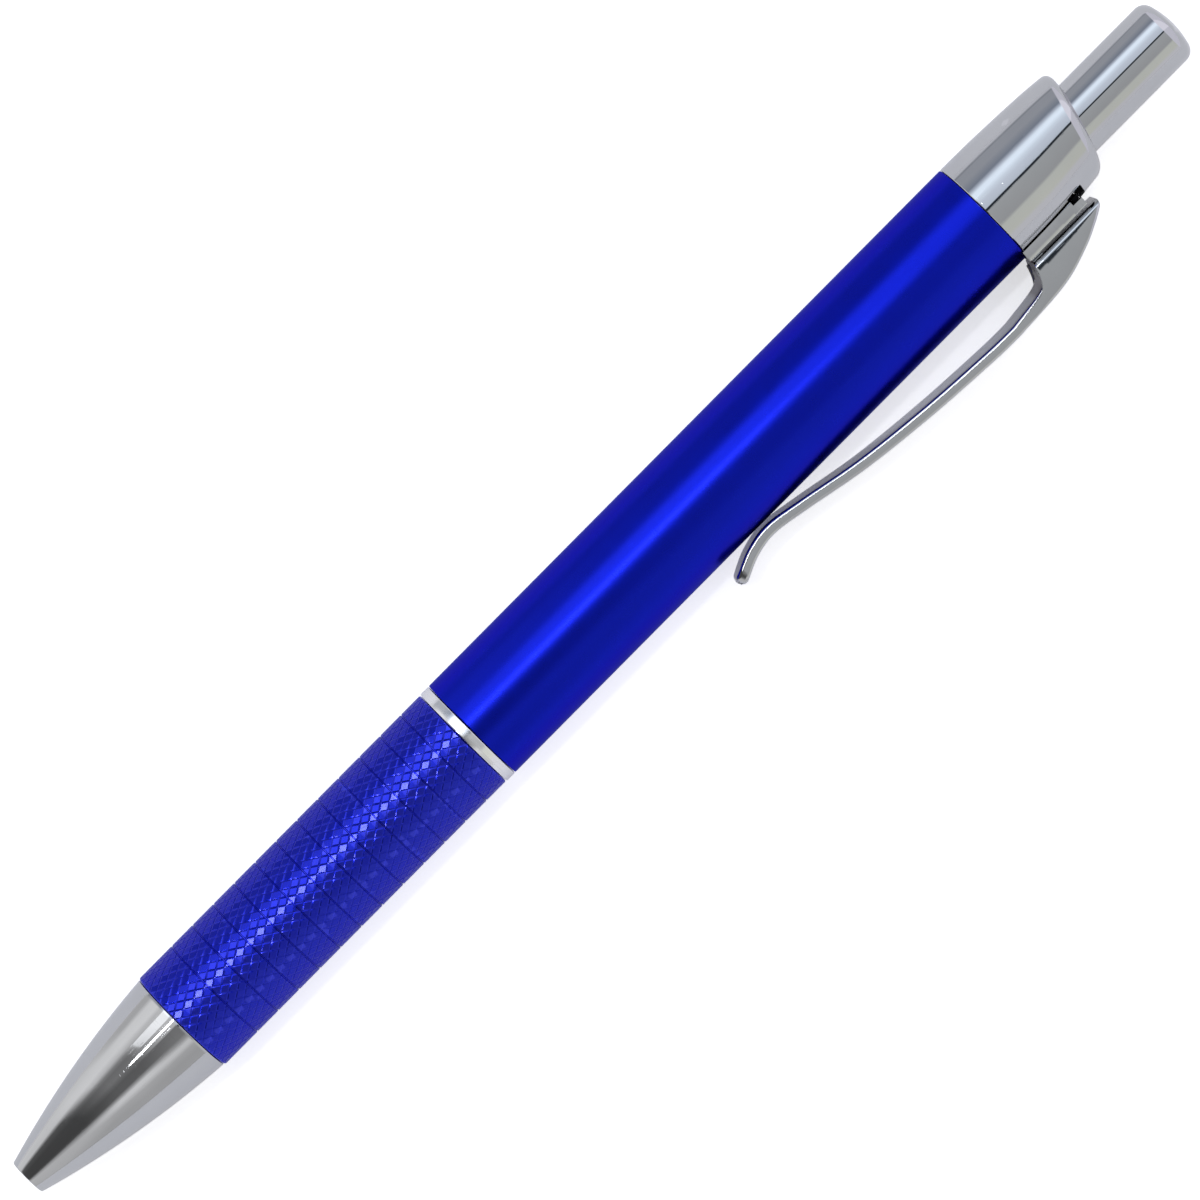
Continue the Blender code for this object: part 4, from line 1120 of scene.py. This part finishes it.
# Radiance of the studio's walls in the pen's reflections: degrees from overhead towards +Y, then a
# grey or a colour. The tent is darker in front of the nose, and paler behind the button.
TENT_MIDDLE = [(-90, (0.80, 0.80, 0.84)), (-80, (0.80, 0.80, 0.84)), (-72, (0.78, 0.79, 0.72)),
               (-52, (0.76, 0.78, 0.72)), (-46, (0.50, 0.51, 0.52)), (-11.8, (0.55, 0.57, 0.58)),
               (-10.4, (0.03, 0.04, 0.05)), (-7.0, (0.03, 0.04, 0.05)), (-5.8, (0.80, 0.88, 1.00)),
               (8, (0.90, 0.98, 1.12)), (16, (1.05, 1.17, 1.32)), (24, (1.32, 1.48, 1.66)),
               (30, (1.28, 1.43, 1.60)), (36, (0.72, 0.79, 0.92)), (42, (0.30, 0.34, 0.42)),
               (60, (0.46, 0.48, 0.53)), (79, (0.46, 0.48, 0.53)), (82, (0.30, 0.32, 0.36)),
               (86, (0.76, 0.77, 0.83)), (90, (0.78, 0.79, 0.84))]
TENT_NOSE_ROOT = [(-90, 0.57), (-70, 0.55), (-56, 0.62), (-48, 0.88), (-43, 0.90), (-36, 0.52),
                  (-28, 0.30), (-6, 0.27), (-3, 0.80), (32, 0.85), (40, 0.84), (48, 1.08),
                  (66, 1.03), (76, 0.66), (86, 0.64), (90, 0.80)]
TENT_NOSE_MIDDLE = [(-90, 0.58), (-73, 0.58), (-56, 0.65), (-44, 0.98), (-38, 0.98), (-32, 0.50),
                    (-26, 0.18), (-8, 0.17), (7, 0.28), (22, 0.25), (30, 0.36), (39, 0.82),
                    (52, 1.06), (70, 1.00), (90, 0.90)]
TENT_NOSE_TIP = [(-90, 0.68), (-60, 0.72), (-44, 0.74), (-34, 0.46), (-27, 0.12), (-20, 0.085),
                 (17, 0.09), (40, 0.14), (46, 0.40), (54, 0.90), (74, 0.94), (90, 0.98)]
TENT_BUTTON = [(-90, (0.88, 0.87, 0.97)), (-9, (0.88, 0.87, 0.97)), (-5, (1.15, 1.13, 1.25)),
               (40, (1.15, 1.13, 1.25)), (46, (0.88, 0.87, 0.97)), (90, (0.88, 0.87, 0.97))]
TENT = (TENT_NOSE_TIP, TENT_NOSE_MIDDLE, TENT_NOSE_ROOT, TENT_MIDDLE, TENT_BUTTON)
# Where one part of the tent gives way to the next, as the X of a direction
TENT_STEPS = [(-0.46, -0.38), (-0.31, -0.23), (-0.13, -0.06), (0.33, 0.38)]


def tent_colour(air, angle, bands):
    """A colour ramp round the pen's length, from bands of (degrees, grey or colour)."""
    ramp = air.add("ValToRGB", {"Fac": angle})
    stops = ramp.color_ramp.elements
    for _ in bands[1:-1]:
        stops.new(0.5)
    for stop, (degrees, colour) in zip(stops, bands):
        stop.position = (degrees + 90) / 180
        stop.color = (*colour, 1.0) if isinstance(colour, tuple) else (colour, colour, colour, 1.0)
    return ramp.outputs["Color"]


def studio_air():
    """Soft white tent around the table, and plain white to the eye."""
    world = bpy.data.worlds.new("studio")
    bpy.context.scene.world = world
    air = Nodes(world)
    air.tree.nodes.clear()
    place = air.add("TexCoord").outputs["Generated"]
    along, across, up = air.add("SeparateXYZ", {"Vector": place}).outputs[:]
    angle = air.between(air.math("ARCTAN2", across, up), -math.pi / 2, math.pi / 2)
    colours = [tent_colour(air, angle, bands) for bands in TENT]
    whole = colours[0]
    for (start, end), colour in zip(TENT_STEPS, colours[1:]):
        whole = air.mix(air.between(along, start, end), whole, colour)
    tent = air.add("Background", {"Color": whole}).outputs["Background"]
    plain = air.add("Background", {"Color": WHITE}).outputs["Background"]
    seen = air.add("LightPath").outputs["Is Camera Ray"]
    both = air.add("MixShader", {0: seen, 1: tent, 2: plain}).outputs["Shader"]
    air.add("OutputWorld", {"Surface": both})


def softbox(name, angle, span, width, radiance):
    """A soft light along the pen, over a span of X, angle degrees from overhead towards +Y."""
    length = span[1] - span[0]
    light = bpy.data.lights.new(name, "AREA")
    light.shape = "RECTANGLE"
    light.size = length
    light.size_y = width
    light.energy = radiance * math.pi * length * width
    light.color = LIGHT_COLOUR
    made = add_object(name, light, Matrix.Identity(4))
    tilt = math.radians(angle)
    across = LIGHT_DISTANCE * math.sin(tilt)
    made.location = (sum(span) / 2, across, LIGHT_DISTANCE * math.cos(tilt))
    made.rotation_euler = (-tilt, 0.0, 0.0)


def camera():
    """Camera almost overhead, rolled so that the pen runs from lower left to upper right."""
    lens = bpy.data.cameras.new("view")
    lens.sensor_width = SENSOR
    lens.lens = SENSOR * VIEW_DISTANCE / VIEW_WIDTH
    lens.clip_start, lens.clip_end = VIEW_CLIP
    made = add_object("view", lens, Matrix.Identity(4))
    up = math.radians(VIEW_ELEVATION)
    back = Vector((0.0, -math.cos(up), math.sin(up)))
    aim = PEN @ Vector((0.0, 0.0, PEN_LENGTH / 2))
    made.rotation_mode = "QUATERNION"
    look = (-back).to_track_quat("-Z", "Y")
    roll = Matrix.Rotation(-math.radians(VIEW_ROLL), 4, "Z").to_quaternion()
    made.rotation_quaternion = look @ roll
    made.location = aim + back * VIEW_DISTANCE
    bpy.context.scene.camera = made


def main():
    build_pen()
    paint_hidden_nodes()
    floor()
    studio_air()
    for light in SOFTBOXES:
        softbox(*light)
    camera()
    bpy.context.scene.view_settings.view_transform = "Standard"


main()
